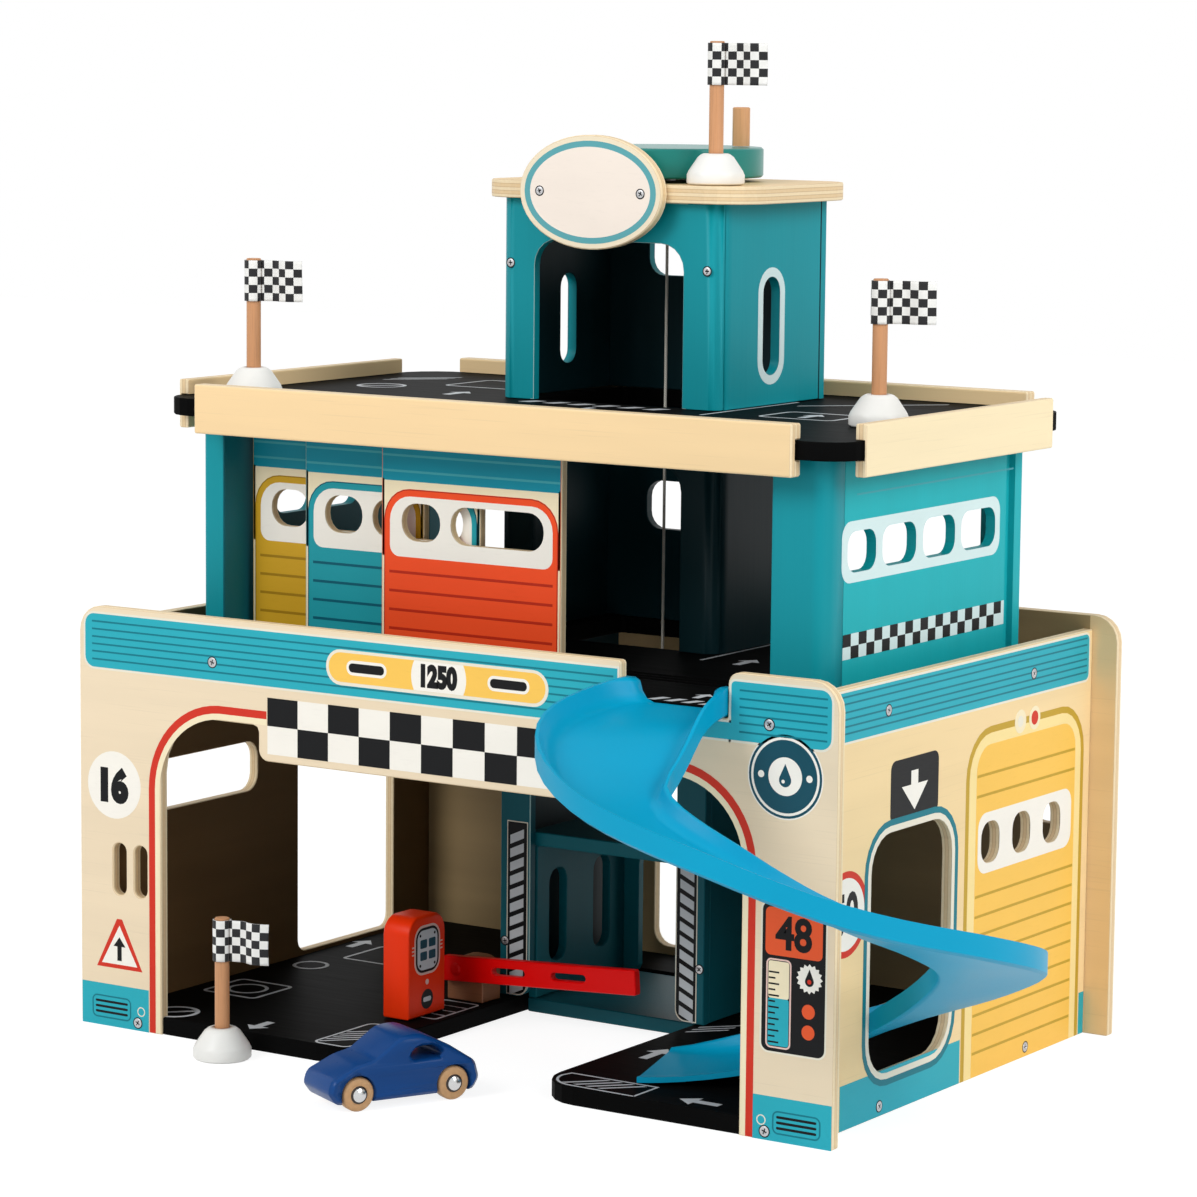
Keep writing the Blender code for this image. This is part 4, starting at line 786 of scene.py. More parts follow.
# The printed line round the arch: from each foot up to its crown, and on to where the lintel starts
for way, foot_a, crown_a in ((-1, 47, 107.4), (1, 355, 293)):
    start, stop = (180, 92) if way < 0 else (0, 88)
    outline = [(foot_a + way * 4.95, 0.3)]
    outline += arc(foot_a - way * 35, 113, 39.95, start, stop, 14)
    outline += [(crown_a, 152.95)]
    front.line("red", outline, 3.5, 2)
    front.line("cream", beside(outline, way * 3.1, False), 2.8)

# The round number, the triangular sign and the badge on the piers
front.disc("white", 20, 112.5, 15.5)
front.number("black", "16", 12.0, 104.0, 28.4, 121.0, 2, 0.075)
front.fill("red", [(9.3, 27.5), (36, 27.5), (24.2, 50.6), (21.2, 50.6)])
front.fill("white", [(12.3, 29.4), (33.1, 29.4), (22.7, 47.6)], 2)
front.arrow("black", 22.7, 31.2, 11, 7, 90, 3)
badge = ((18, "white"), (17.4, "navy"), (16.3, "white"), (15.2, "navy"), (8, "white"))
for layer, (radius, tone) in enumerate(badge, 1):
    front.disc(tone, 375, 153.3, radius, layer, 48)
front.fill("navy", drop(375, 151.8, 2.9, 158.6, 12), 6)
front.disc("white", 374.1, 151.2, 0.8, 7, 12)
for side in (363.5, 386.5):
    front.disc("white", side, 153.4, 1.5, 5, 16)

# The gauge panel
front.box("pale", 364.5, 37.2, 396.3, 101.3, 4)
front.box("black", 365.3, 38, 395.5, 100.5, 3.4, 2)
front.box("orange", 366.8, 78.5, 394, 98.6, 2.4, 3)
front.number("black", "48", 371.5, 81, 389, 95.5, 4, 0.03)
front.ring("pink", rounded(367.7, 39.8, 379, 76.8, 2), 0.7, 3)
front.box("teal", 368.4, 40.5, 378.3, 60.5, 1, 3)
front.box("cream", 368.4, 60.5, 378.3, 76.1, 1, 3)
for tick in range(13):
    front.stripe("black", 368.6, 371.8 if tick % 2 else 373.6, 42 + tick * 2.45, 0.35, 4)
rays = []
for step in range(32):
    radius = 5.2 if step % 2 else 6.3
    turn = math.tau * step / 32
    rays.append((388 + radius * math.cos(turn), 70.5 + radius * math.sin(turn)))
front.fill("white", rays, 3)
front.fill("black", drop(388, 69.4, 2.1, 74.6, 10), 4)
front.disc("red", 388, 69.3, 1.0, 5, 12)
for level in (56.7, 48.0):
    front.disc("orange", 387.7, level, 3.1, 3, 24)


# Side panels and back panel

right = Panel("garage", (RIGHT_FACE, 0, 0), ALONG_Y, ALONG_Z)
SIDE_LINES = (184.0, 181.0, 177.5, 174.5, 171.5, 168.5)
cornice(right, 8, 246.5, 165, 185.8, SIDE_LINES, (3, 3, 3, 3))
right.box("teal", 27, 0.3, 131, 19.7)
right.box("teal", 244.5, 0.3, 249.4, 19.7)
right.box("black", 65.5, 124.7, 107, 151.5, 4)
right.fill("white", [(75, 139.5), (83, 139.5), (83, 145.5), (89, 145.5), (89, 139.5), (97.5, 139.5),
                     (86.3, 128.5)], 2)
side_door = rounded(50.3, 18, 120.4, 121.5, 16)
right.box("pale", 47.6, 15.3, 123.1, 124.2, 18.6, 2, [side_door])
right.ring("teal_line", rounded(46.2, 13.9, 124.5, 125.6, 20), 2.7, 3)
right.disc("red", 29.5, 92.3, 18.3, 1, 48)
right.disc("white", 29.5, 92.3, 15.4, 2, 48)
right.number("black", "50", 19.5, 83, 39.5, 101.6, 3, 0.03)
side_windows = [rounded(middle - 8.5, 94.75, middle + 8.5, 113.25, 7) for middle in (155, 184, 213)]
right.box("olive", 132, 0.3, 243.5, 155.5, (0, 0, 22, 22), 1, side_windows)
right.box("yellow_pale", 135, 0.3, 240.5, 152.5, (0, 0, 19, 19), 2, side_windows)
right.box("yellow", 141.5, 0.3, 235, 147.5, (0, 0, 12, 12), 3, side_windows)
for level in (134.5, 125.5, 81, 72, 63.5, 54.5, 46, 37, 28, 19.5, 11):
    right.stripe("olive", 142, 234.5, level, 0.6, 4)
right.box("white", 143.5, 90.5, 232, 117.5, 7, 4, side_windows)
for a, tone, inner in ((181, "pale", 2.6), (194.5, "red", 3.2)):
    right.disc("cream", a, 154, 5.3, 4, 28)
    right.disc(tone, a, 154, inner, 5, 24)

left = Panel("garage", (LEFT_FACE, 0, 0), BACK_Y, ALONG_Z)
cornice(left, -246.5, -8, 165, 185.8, SIDE_LINES, (3, 3, 3, 3))
left.box("teal", -249.4, 0.3, -8, 9.0)
back = Panel("garage", (0, BACK_FACE, 0), BACK_X, ALONG_Z)
cornice(back, -396.5, -3.5, 166, 190.5, FRONT_LINES, (5, 5, 5, 5))
back.box("teal", -399.5, 0.3, -0.5, 10.5)


# Walls and doors of the upper storey

for face, way, sign in ((UPPER_RIGHT_FACE, ALONG_Y, 1), (UPPER_LEFT_FACE, BACK_Y, -1)):
    wall = Panel("garage", (face, 0, 0), way, ALONG_Z)
    holes = []
    for window in ((64.8, 89.0), (94.4, 123.8), (129.8, 158.6), (164.1, 195.7)):
        low, high = ordered(sign, *window)
        holes.append(rounded(low, 229.5, high, 247.0, 6.5))
    low, high = ordered(sign, 60, 200)
    wall.box("pale_cyan", low, 225.3, high, 251.5, 7, 1, holes)
    low, high = ordered(sign, 72, 212)
    wall.box("teal_light", low, 262.1, high, 262.9)
    low, high = ordered(sign, 62, 205.5)
    wall.box("pale_cyan", low, 193, high, 203.7)
    for square in range(21):
        start = 62 + square * 6.7
        low, high = ordered(sign, start, min(start + 6.7, 205.4))
        row = 193.0 if square % 2 else 198.35
        wall.box("black", low, row, high, row + 5.35, layer=2)

for node, body, edge, face in (("door_red", "red_door", 131.9, 52.2), ("door_blue", "blue_door", 84.8, 58.0),
                               ("door_yellow", "yellow_door", 50.0, 63.8)):
    door = Panel(body, (edge, face, 0), ALONG_X, ALONG_Z)
    lights = [rounded(11.2, 228.8, 32.3, 245.8, 8), rounded(37.9, 228.8, 87.7, 245.8, 8)]
    door.box("cream", 0.6, 177, 1.6, 256)
    door.box("cream", 95.3, 177, 96.3, 256)
    door.box("cream", 0.6, 221.5, 96.3, 255.4, 0.0, 1, lights)
    door.box(node, 1.6, 177, 95.3, 252, (0, 0, 14, 14), 2, lights)
    door.box("white", 4.8, 221.5, 92.4, 248.7, (5, 5, 11, 11), 3, lights)
    door.box("teal_door", 0.6, 255.4, 96.3, 280.7)
    for level in (259.8, 266.8):
        door.stripe("teal_light", 0.6, 96.3, level, 0.5, 2)
    for level in (214.5, 206, 197.5, 189):
        door.stripe(node + "_line", 4.5, 92.6, level, 0.6, 3)
    door.ring(node + "_line", rounded(1.9, 177.2, 95.0, 251.7, (0, 0, 13.7, 13.7)), 0.5, 3)


# Tower slots, gate and sign

SLOT_RIM = 4.2
for face, way, sign, near, far, bottom, top in ((261.0, ALONG_Y, 1, 165.5, 180.2, 301.3, 345.8),
                                                (141.0, BACK_Y, -1, 173.9, 187.0, 300.8, 342.8)):
    wall = Panel("garage", (face, 0, 0), way, ALONG_Z)
    low, high = ordered(sign, near, far)
    radius = (far - near) * 0.49
    slot = rounded(low, bottom, high, top, radius, 8)
    wall.box("pale_cyan", low - SLOT_RIM, bottom - SLOT_RIM, high + SLOT_RIM, top + SLOT_RIM,
             radius + SLOT_RIM, 1, [slot], 8)

gate = Panel("garage", (0, SHAFT_FACE, 0), ALONG_X, ALONG_Z)
for low, high, way in ((148.7, 159.3, 1), (241.9, 252.3, -1)):
    corners = (0, 5, 0, 0) if way > 0 else (5, 0, 0, 0)
    gate.box("pale", low - 0.5, 8.9, high + 0.5, 91.2, corners)
    gate.box("black", low, 9.4, high, 90.7, corners, 2)
    a, b = (low + 1.3, high - 1.7) if way > 0 else (high - 1.3, low + 1.7)
    for stripe in range(12):
        level = 12.0 + stripe * 6.5
        gate.fill("grey", [(a, level - 3.4), (b, level), (b, level + 4.2), (a, level + 0.8)], 3)

sign_face = Panel("garage", (0, SIGN_FACE, 0), ALONG_X, ALONG_Z)
sign_face.fill("sign_ring", ellipse(197.5, 383.2, 35.2, 23.0))
sign_face.fill("sign_white", ellipse(197.5, 383.2, 32.2, 20.3), 2)


# Road marks on the three black boards

ground = Panel("garage", (0, 0, GROUND_TOP), ALONG_X, ALONG_Y)
ground.ring("road", rounded(27, 55, 57, 85, 3), 1.8)
ground.ring("road", circle(42, 70, 9, 32), 1.8)
ground.arrow("road", 93, 22, 16, 12, 270)
ground.ring("road", circle(45, 13, 10, 36), 2.2)
ground.line("road", [(38.5, 6.5), (51.5, 19.5)], 2.2)
ground.ring("road", rounded(131, 3, 150, 47, 4), 1.2)
ground.hatch("road", 132.5, 5, 148.5, 46, 5.2, 1.7)
ground.ring("road", rounded(130, 70, 150, 105, 2), 1.2)
for level in (78.5, 87, 96):
    ground.line("road", [(130, level), (150, level)], 1.0)
ground.arrow("road", 25, 172, 18, 12, 90)
ground.ring("road", rounded(38, 150, 66, 182, 2), 1.6)
ground.ring("road", circle(35, 128, 8, 28), 1.8)
ground.line("road", [(301, 3), (301, 22), (257, 22)] + arc(269, 17, 13.5, 180, 262, 8) + [(301, 3)], 1.2)
ground.hatch("road", 262, 6, 299, 20, 6.2, 2.2)
ground.arrow("road", 339, 11, 20, 12, 180)
ground.arrow("road", 267.5, 62, 21, 12, 90)
ground.hatch("road", 256, 115, 270, 146, 5.5, 1.7)
for step in range(5):
    ground.box("road", 300, 150 + step * 16, 301.6, 158 + step * 16)

storey = Panel("garage", (0, 0, STOREY_TOP), ALONG_X, ALONG_Y)
for step in range(4):
    low = 303 + step * 8.4
    storey.fill("road", [(low, 6.5), (low + 4, 6.5), (low + 7, 14.5), (low + 3, 14.5)])
storey.arrow("road", 318.5, 20, 12, 9, 90)
storey.arrow("road", 282, 112, 18, 11, 90)
storey.line("road", [(262, 115), (262, 185), (300, 185)], 1.6)
for step in range(5):
    storey.box("road", 80 + step * 14, 120, 88 + step * 14, 121.6)

deck = Panel("garage", (0, 0, DECK_TOP), ALONG_X, ALONG_Y)
for step in range(6):
    low = 160 + step * 13.4
    deck.fill("road", [(low, 118.5), (low + 6, 118.5), (low + 10, 127), (low + 4, 127)])
deck.arrow("road", 205, 112, 15, 11, 270)
deck.line("road", [(262, 112), (262, 196)], 1.6)
deck.hatch("road", 272, 178, 322, 234, 8, 2.0)
deck.ring("road", rounded(285, 122, 322, 152, 4), 1.6)
deck.arrow("road", 304, 128, 18, 11, 90)
deck.ring("road", circle(60, 150, 11, 36), 1.8)
deck.line("road", [(52.5, 142.5), (67.5, 157.5)], 1.8)
deck.arrow("road", 113, 128, 19, 12, 90)
deck.ring("road", rounded(82, 170, 122, 208, 4), 1.6)
deck.hatch("road", 40, 178, 62, 218, 6, 1.8)


# The pump's dial

dial = Panel("fuel_pump", (PUMP_FACE, 0, 0), ALONG_Y, ALONG_Z)
dial.box("pink", 62.6, 27.8, 82.6, 50.8, 6.5)
dial.box("black", 63.7, 28.9, 81.5, 49.7, 5.4, 2)
dial.box("grey", 64.9, 30.1, 80.3, 48.5, 4.2, 3)
for low_b in (40.2, 34.6):
    for low_a in (67, 73.6):
        dial.box("navy", low_a, low_b, low_a + 5.2, low_b + 4, 0.6, 4, steps=2)
for a in (67, 78.2):
    for b in (32.3, 46.3):
        dial.disc("black", a, b, 0.7, 4, 12)
for level in (38.2, 39.9, 41.6):
    dial.stripe("pink", 60.8, 62.8, level, 0.35)
    dial.stripe("pink", 82.4, 84.4, level, 0.35)
dial.disc("pink", 72.6, 24.2, 1.3, 1, 16)
dial.disc("black", 72.6, 16.2, 4.6, 1, 28)
dial.box("grey", 69.6, 15.1, 75.6, 17.3, 0.8, 2, steps=2)

# Each ink's colour, under the name of the slot that it goes with
INKS = {
    "teal_paint": {"teal": (44, 172, 188), "teal_door": (14, 142, 164), "teal_light": (70, 168, 178),
                   "sign_ring": (96, 170, 178)},
    "deep_teal_paint": {"teal_line": (22, 122, 136), "navy": (20, 76, 92)},
    "white_paint": {"pale": (236, 230, 212), "pale_cyan": (214, 236, 236), "cream": (246, 232, 196),
                    "white": (246, 242, 232), "grey": (206, 212, 216), "road": (206, 210, 214),
                    "pink": (236, 200, 190), "sign_white": (250, 238, 226)},
    "black_board": {"black": (16, 17, 19)},
    "door_red_print": {"red": (210, 54, 38), "orange": (234, 92, 50)},
    "door_blue_print": {},
    "door_yellow_print": {"yellow": (250, 200, 92), "yellow_pale": (250, 226, 158), "olive": (196, 160, 52)},
}
for door_node, (paint, dark) in DOOR_TONES.items():
    INKS[door_node + "_print"][door_node] = paint
    INKS[door_node + "_print"][door_node + "_line"] = dark
ink_slots = {tone: slot for slot, tones in INKS.items() for tone in tones}
ink_finishes = {}
for (body, tone), maker in printed.items():
    slot = ink_slots[tone]
    if tone not in ink_finishes:
        ink_finishes[tone] = ink("ink_" + tone, colour(*INKS[slot][tone]))
    piece("print_" + body + "_" + tone, maker, ink_finishes[tone], body)


# Screws

HEAD_STEPS = 32
HEAD_FOOT = -0.15
SHADE_STEPS = 28
# The dark disc of painted shade, for the sunk ring round a screw's head, reaches this far past it and stands
# this far above the board.
SHADE_RIM = 0.45
SHADE_HEIGHT = 0.2


def screw_head():
    """A low domed head of radius one with a cross cut into it."""
    maker = bmesh.new()
    turns = [math.tau * step / HEAD_STEPS for step in range(HEAD_STEPS)]
    loops = []
    for r in (0.16, 0.34, 0.5, 0.62, 0.74, 0.86, 0.95, 1.0):
        loop = []
        for turn in turns:
            x = r * math.cos(turn)
            y = r * math.sin(turn)
            cut = min(abs(x), abs(y)) < 0.13 and max(abs(x), abs(y)) < 0.6
            loop.append(maker.verts.new((x, y, 0.02 if cut else 0.1 + 0.12 * (1 - r * r) ** 0.5)))
        loops.append(loop)
    foot = [maker.verts.new((math.cos(turn), math.sin(turn), HEAD_FOOT)) for turn in turns]
    loops.append(foot)
    middle = maker.verts.new((0, 0, -0.02))
    under = maker.verts.new((0, 0, HEAD_FOOT))
    for i in range(HEAD_STEPS):
        j = (i + 1) % HEAD_STEPS
        maker.faces.new((middle, loops[0][i], loops[0][j]))
        maker.faces.new((under, foot[j], foot[i]))
        for inner, outer in zip(loops, loops[1:]):
            maker.faces.new((inner[i], outer[i], outer[j], inner[j]))
    mesh = bpy.data.meshes.new("screw_head")
    maker.to_mesh(mesh)
    maker.free()
    return linked("screw_head", mesh)


def screw_tree():
    """Sets a head on each point, square to its board and turned by a seeded amount."""
    tree = bpy.data.node_groups.new("screws_on_boards", "GeometryNodeTree")
    for name, kind in (("Geometry", "Geometry"), ("Head", "Object"), ("Head radius", "Float"),
                       ("Turn seed", "Int"), ("Metal", "Material")):
        tree.interface.new_socket(name, in_out="INPUT", socket_type="NodeSocket" + kind)
    tree.interface.new_socket("Geometry", in_out="OUTPUT", socket_type="NodeSocketGeometry")

    def add(kind, settings=None, **values):
        made = tree.nodes.new(kind)
        for key, value in (settings or {}).items():
            setattr(made, key, value)
        for key, value in values.items():
            socket = made.inputs[key.replace("_", " ")]
            if hasattr(value, "is_output"):
                tree.links.new(value, socket)
            else:
                socket.default_value = value
        return made

    given = add("NodeGroupInput").outputs
    head = add("GeometryNodeObjectInfo", Object=given["Head"])
    facing = add("GeometryNodeInputNamedAttribute", {"data_type": "FLOAT_VECTOR"}, Name="facing")
    square = add("FunctionNodeAlignRotationToVector", {"axis": "Z"}, Vector=facing.outputs["Attribute"])
    chance = add("FunctionNodeRandomValue", {"data_type": "FLOAT"}, Seed=given["Turn seed"])
    chance.inputs[3].default_value = math.pi
    spin = add("FunctionNodeAxisAngleToRotation", Axis=(0, 0, 1), Angle=chance.outputs[1])
    turned = add("FunctionNodeRotateRotation", {"rotation_space": "LOCAL"}, Rotation=square.outputs[0],
                 Rotate_By=spin.outputs[0])
    many = add("GeometryNodeInstanceOnPoints", Points=given["Geometry"], Instance=head.outputs["Geometry"],
               Rotation=turned.outputs[0], Scale=given["Head radius"])
    real = add("GeometryNodeRealizeInstances", Geometry=many.outputs[0])
    dressed = add("GeometryNodeSetMaterial", Geometry=real.outputs[0], Material=given["Metal"])
    add("NodeGroupOutput", Geometry=dressed.outputs[0])
    return tree


def screws(name, body, radius, seed, spots):
    mesh = bpy.data.meshes.new(name)
    mesh.from_pydata([spot(*point) for point, _ in spots], [], [])
    facing = mesh.attributes.new("facing", "FLOAT_VECTOR", "POINT")
    for index, (_, way) in enumerate(spots):
        facing.data[index].vector = way
    carrier = linked(name + "_points", mesh)
    setter = carrier.modifiers.new("screws", "NODES")
    setter.node_group = tree_of_screws
    inputs = {item.name: item.identifier for item in tree_of_screws.interface.items_tree
              if item.in_out == "INPUT"}
    setter[inputs["Head"]] = head_of_screw
    setter[inputs["Head radius"]] = radius * MM
    setter[inputs["Turn seed"]] = seed
    setter[inputs["Metal"]] = steel.material
    bpy.context.view_layer.update()
    graph = bpy.context.evaluated_depsgraph_get()
    result = bpy.data.meshes.new_from_object(carrier.evaluated_get(graph))
    carrier.modifiers.remove(setter)
    bpy.data.objects.remove(carrier)
    if not result.materials:
        result.materials.append(steel.material)
    made = linked(name, result)
    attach(made, body)
    painted_screw_shades(name, body, radius + SHADE_RIM, spots)


def painted_screw_shades(name, body, reach, spots):
    """Dark thin discs under the heads: painted shade for the sunk ring round each head and for the cross cut
    in it.
    """
    maker = bmesh.new()
    for point, way in spots:
        normal = Vector(way)
        across = normal.orthogonal().normalized()
        up = normal.cross(across)
        rings = []
        for height in (-INK_SINK, SHADE_HEIGHT):
            ring = []
            for step in range(SHADE_STEPS):
                turn = math.tau * step / SHADE_STEPS
                offset = (across * math.cos(turn) + up * math.sin(turn)) * reach + normal * height
                ring.append(maker.verts.new(spot(*point) + offset * MM))
            rings.append(ring)
        maker.faces.new(rings[0][::-1])
        maker.faces.new(rings[1])
        for i in range(SHADE_STEPS):
            maker.faces.new((rings[0][i - 1], rings[0][i], rings[1][i], rings[1][i - 1]))
    piece(name + "_recess", maker, screw_recess, body)


head_of_screw = screw_head()
tree_of_screws = screw_tree()
SCREW_LEVEL = 174
front_screws = ((77, SCREW_LEVEL), (367, SCREW_LEVEL), (33.3, 3.6), (367.5, 3.6))
side_screws = ((62.5, SCREW_LEVEL), (193, SCREW_LEVEL), (60.5, 4.6), (192.5, 4.6))
back_screws = [(a, SCREW_LEVEL) for a in (33, 120, 280, 367)] + [(33, 4.8), (367, 4.8)]
wall_spots = [((a, FRONT_FACE, b), BACK_Y) for a, b in front_screws]
wall_spots += [((RIGHT_FACE, a, b), ALONG_X) for a, b in side_screws]
wall_spots += [((LEFT_FACE, a, b), BACK_X) for a, b in side_screws]
wall_spots += [((a, BACK_FACE, b), ALONG_Y) for a, b in back_screws]
screws("wall_screws", "garage", 2.2, 3, wall_spots)
shaft_screws = ((147.9, 349.6), (253.6, 349.6), (147.3, 34), (254.2, 34))
tower_spots = [((a, SHAFT_FACE, b), BACK_Y) for a, b in shaft_screws]
tower_spots += [((a, 221, 349.6), ALONG_Y) for a in (153, 252.5)]
tower_spots += [((a, SIGN_FACE, 383.2), BACK_Y) for a in (170.5, 224.5)]
screws("tower_screws", "garage", 1.9, 5, tower_spots)
bpy.data.objects.remove(head_of_screw)


# Flag cloths

FLAG_LONG = 24.0
FLAG_HIGH = 18.5
FLAG_THICK = 0.5
# How far the cloth's top lies under the pole's end
FLAG_DROP = 0.8
WRAP_RADIUS = 3.95
FREE_STEPS = 40
WRAP_STEPS = 36
FLAG_ROWS = 15
RIPPLE = 1.25
SWAY = 0.35
cloth = checked("flag_check", 0.0039, 0.0037)


def cloth_line():
    """The cloth from above, in from its free end and round the pole, with how free each point is."""
    line = []
    for step in range(FREE_STEPS + 1):
        share = 1 - step / FREE_STEPS
        u = WRAP_RADIUS + (FLAG_LONG - WRAP_RADIUS) * share
        line.append((u, RIPPLE * math.sin(share * math.tau * 1.1) * min(1.0, share * 3), share))
    for step in range(1, WRAP_STEPS + 1):
        angle = math.radians(8 + 340 * step / WRAP_STEPS)
        line.append((WRAP_RADIUS * math.cos(angle), WRAP_RADIUS * math.sin(angle), 0.0))
    return line


def flag_cloth(name, x, y, top, heading, seed):
    """A printed cloth that is wrapped round its pole and ripples towards its free end."""
    line = cloth_line()
    spin = Matrix.Rotation(math.radians(heading), 2)
    pole = Vector((x, y))
    travel = [0.0]
    for before, here in zip(line, line[1:]):
        travel.append(travel[-1] + (Vector(here[:2]) - Vector(before[:2])).length)
    maker = bmesh.new()
    flat = maker.loops.layers.uv.new("cloth")
    verts = {-1: [], 1: []}
    where = {}
    for side, rows in verts.items():
        for row in range(FLAG_ROWS + 1):
            level = top - FLAG_DROP - FLAG_HIGH * (1 - row / FLAG_ROWS)
            sway = SWAY * math.sin(row / FLAG_ROWS * math.pi * 1.3 + seed)
            points = [(u, v + sway * share) for u, v, share in line]
            made = []
            for index, point in enumerate(beside(points, side * FLAG_THICK / 2, False)):
                vert = maker.verts.new(spot(*(pole + spin @ Vector(point)), level))
                where[vert] = (travel[index] * MM, FLAG_HIGH * row / FLAG_ROWS * MM)
                made.append(vert)
            rows.append(made)
    a, b = verts[1], verts[-1]
    last = len(line) - 1
    for row in range(FLAG_ROWS):
        for i in range(last):
            maker.faces.new((a[row][i], a[row + 1][i], a[row + 1][i + 1], a[row][i + 1]))
            maker.faces.new((b[row][i], b[row][i + 1], b[row + 1][i + 1], b[row + 1][i]))
        for i in (0, last):
            ends = [a[row][i], b[row][i], b[row + 1][i], a[row + 1][i]]
            maker.faces.new(ends if i == 0 else ends[::-1])
    for i in range(last):
        for row in (0, FLAG_ROWS):
            ends = [a[row][i], a[row][i + 1], b[row][i + 1], b[row][i]]
            maker.faces.new(ends if row == 0 else ends[::-1])
    for face in maker.faces:
        for corner in face.loops:
            corner[flat].uv = where[corner.vert]
    bmesh.ops.recalc_face_normals(maker, faces=maker.faces)
    made = piece(name + "_check", maker, cloth, name, smooth=True)
    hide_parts(name + "_cloth")


for flag, values in FLAGS.items():
    flag_cloth(flag, *values)


# Lift cord

CORD_RADIUS = 0.7
CORD_SIDES = 10
CORD_FOOT = Vector((193.3, 191.0, 87.0))
CORD_TOP = 374.1
CORD_BEND = 2.5
SPOOL_TOUCH = Vector((208.218, 183.532))


def cord_route():
    """Up from the cabin's roof, round the eye's bend and across to the spool."""
    foot = CORD_FOOT.xy
    run = (SPOOL_TOUCH - foot).normalized()
    bend_level = CORD_TOP - CORD_BEND
    points = [Vector((*foot, CORD_FOOT.z + (bend_level - CORD_FOOT.z) * step / 15)) for step in range(16)]
    for step in range(1, 7):
        angle = math.pi / 2 * step / 6
        side = foot + run * CORD_BEND * (1 - math.cos(angle))
        points.append(Vector((*side, bend_level + CORD_BEND * math.sin(angle))))
    start = points[-1].xy
    for step in range(1, 5):
        points.append(Vector((*start.lerp(SPOOL_TOUCH, step / 4), CORD_TOP)))
    return points


def tube(name, route, radius, finish, body):
    """A tube of one unbroken mesh along a route, with a map that runs round it and along it."""
    maker = bmesh.new()
    flat = maker.loops.layers.uv.new("cord")
    loops = []
    travel = [0.0]
    side = Vector((1, 0, 0))
    for index, here in enumerate(route):
        before = route[max(0, index - 1)]
        after = route[min(len(route) - 1, index + 1)]
        way = (after - before).normalized()
        side = (side - way * side.dot(way)).normalized()
        other = way.cross(side)
        if index:
            travel.append(travel[-1] + (here - before).length)
        loop = []
        for step in range(CORD_SIDES):
            angle = math.tau * step / CORD_SIDES
            rim = here + (side * math.cos(angle) + other * math.sin(angle)) * radius
            loop.append(maker.verts.new((rim - ORIGIN) * MM))
        loops.append(loop)
    for index, (low, high) in enumerate(zip(loops, loops[1:])):
        for step in range(CORD_SIDES):
            following = (step + 1) % CORD_SIDES
            face = maker.faces.new((low[step], low[following], high[following], high[step]))
            places = ((step, index), (step + 1, index), (step + 1, index + 1), (step, index + 1))
            for corner, (u, v) in zip(face.loops, places):
                corner[flat].uv = (u / CORD_SIDES, travel[v] * MM)
    maker.faces.new(loops[0][::-1])
    maker.faces.new(loops[-1])
    made = piece(name, maker, finish, body, smooth=True)
    return made, travel[-1]


route = cord_route()
fibre = twisted("cord_fibre", colour(228, 224, 212))
cord, cord_length = tube("lift_line", route, CORD_RADIUS, fibre, "garage")
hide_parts("lift_cord")
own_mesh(cord)


# Floor, light and camera

FLOOR_REACH = 4
FLOOR_GLOW = 0.85
CAMERA_TURN = 33.32
CAMERA_PITCH = 7.50
CAMERA_ROLL = 0.56
CAMERA_LENS = 128.3
CAMERA_PLACE = (1.010151, -1.547651, 0.4522)


def white_floor():
    """A floor that the camera, gloss and glass see as white, and that keeps the object's shadow."""
    made = Finish("studio_floor", 0.6)
    made.sets("Base Color", (0.82, 0.82, 0.82, 1.0))
    paths = [made.node("ShaderNodeLightPath", take=index) for index in (0, 3, 6)]
    seen = paths[0].maths("MAXIMUM", paths[1]).maths("MAXIMUM", paths[2])
    glow = made.node("ShaderNodeEmission", None, (1.0, 1.0, 1.0, 1.0), FLOOR_GLOW)
    dim = made.node("ShaderNodeBsdfDiffuse", None, (0.3, 0.3, 0.3, 1.0))
    lit = made.node("ShaderNodeAddShader", None, glow, dim)
    both = made.node("ShaderNodeMixShader", None, seen, Value(made, made.shader.outputs[0]), lit)
    surface = [n for n in made.tree.nodes if n.type == "OUTPUT_MATERIAL"][0]
    made.tree.links.new(both.socket, surface.inputs[0])
    mesh = bpy.data.meshes.new("studio_floor")
    corners = [(x * FLOOR_REACH, y * FLOOR_REACH, 0) for x, y in ((-1, -1), (1, -1), (1, 1), (-1, 1))]
    mesh.from_pydata(corners, [], [(0, 1, 2, 3)])
    mesh.materials.append(made.material)
    floor = linked("studio_floor", mesh)


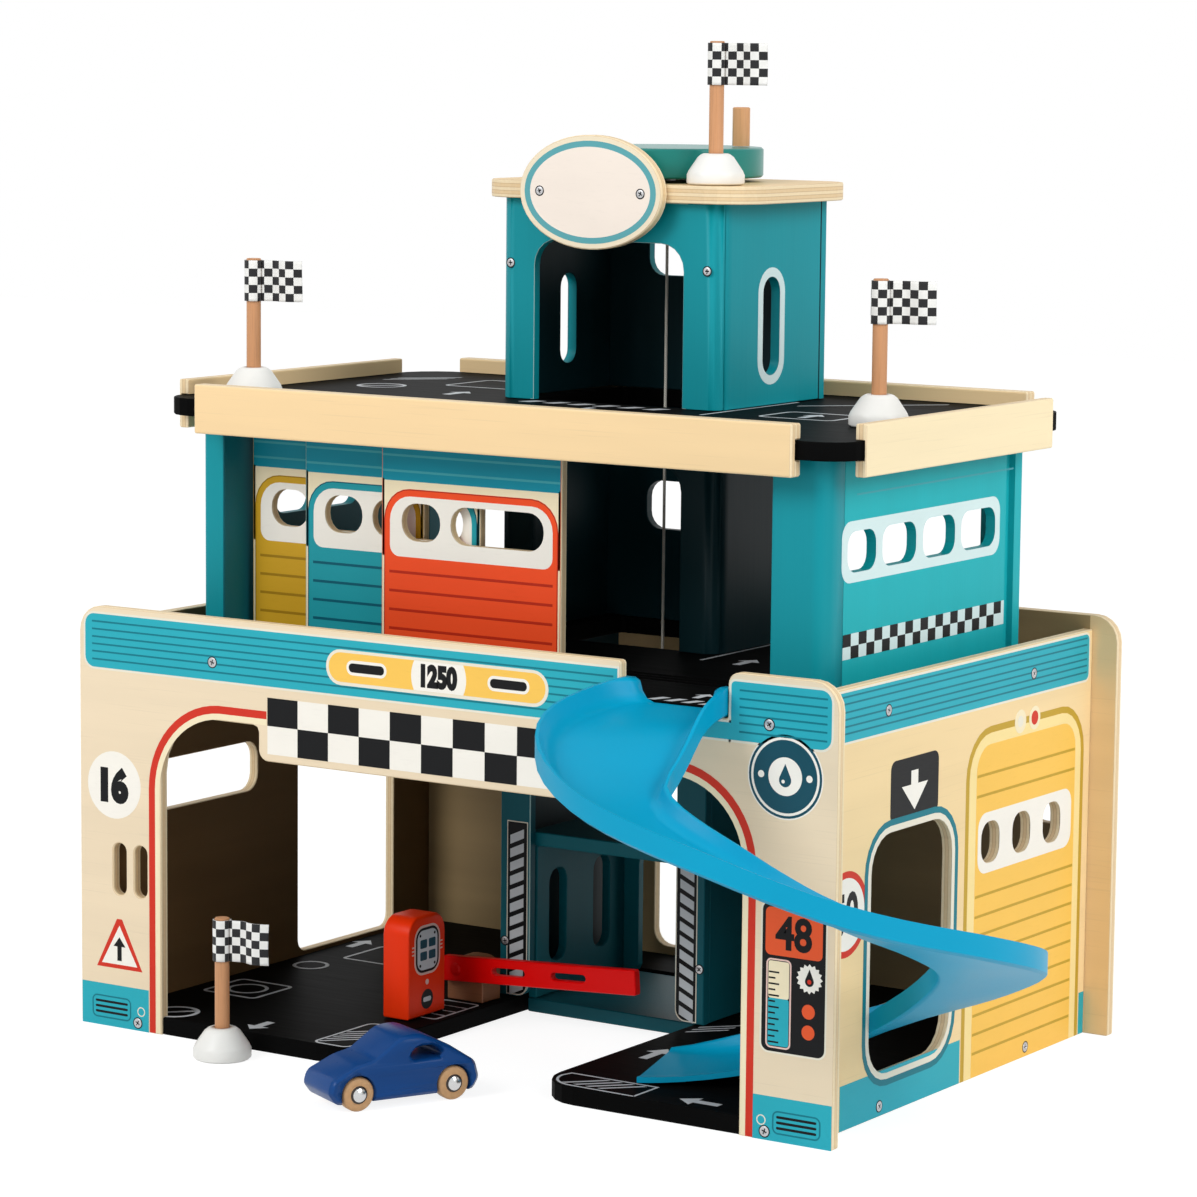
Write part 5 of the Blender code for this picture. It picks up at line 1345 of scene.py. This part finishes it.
def world_light(strength):
    """A plain white world, seen at full white by the camera and in gloss."""
    world = bpy.data.worlds.new("studio")
    bpy.context.scene.world = world
    world.use_nodes = True
    nodes, links = world.node_tree.nodes, world.node_tree.links
    nodes.clear()
    shell = nodes.new("ShaderNodeBackground")
    shell.inputs["Color"].default_value = (1.0, 1.0, 1.0, 1.0)
    path = nodes.new("ShaderNodeLightPath")
    seen = nodes.new("ShaderNodeMath")
    seen.operation = "MAXIMUM"
    links.new(path.outputs["Is Camera Ray"], seen.inputs[0])
    links.new(path.outputs["Is Glossy Ray"], seen.inputs[1])
    level = nodes.new("ShaderNodeMapRange")
    level.inputs["To Min"].default_value = strength
    level.inputs["To Max"].default_value = 1.0
    links.new(seen.outputs[0], level.inputs["Value"])
    links.new(level.outputs[0], shell.inputs["Strength"])
    surface = nodes.new("ShaderNodeOutputWorld")
    links.new(shell.outputs[0], surface.inputs[0])


def soft_box(name, where, towards, size, power):
    light = bpy.data.lights.new(name, "AREA")
    light.shape = "DISK"
    light.size = size
    light.energy = power
    made = linked(name, light)
    made.location = where
    made.rotation_euler = (Vector(towards) - Vector(where)).to_track_quat("-Z", "Y").to_euler()


def camera():
    turn, pitch, roll = (math.radians(angle) for angle in (CAMERA_TURN, CAMERA_PITCH, CAMERA_ROLL))
    ahead = Vector((-math.sin(turn) * math.cos(pitch), math.cos(turn) * math.cos(pitch), -math.sin(pitch)))
    level = Vector((math.cos(turn), math.sin(turn), 0))
    upright = level.cross(ahead)
    side = level * math.cos(roll) + upright * math.sin(roll)
    above = -level * math.sin(roll) + upright * math.cos(roll)
    made = linked("camera", bpy.data.cameras.new("camera"))
    made.data.lens = CAMERA_LENS
    made.data.sensor_width = 36
    made.data.clip_start = 0.05
    axes = Matrix((side, above, -ahead)).transposed().to_4x4()
    made.matrix_world = Matrix.Translation(CAMERA_PLACE) @ axes
    bpy.context.scene.camera = made


white_floor()
world_light(0.5)
soft_box("key", (-0.9, -2.4, 1.9), (0, 0, 0.2), 1.6, 42)
soft_box("fill", (2.3, -0.3, 1.5), (0, 0, 0.2), 1.6, 34)
camera()
bpy.context.scene.view_settings.view_transform = "Standard"
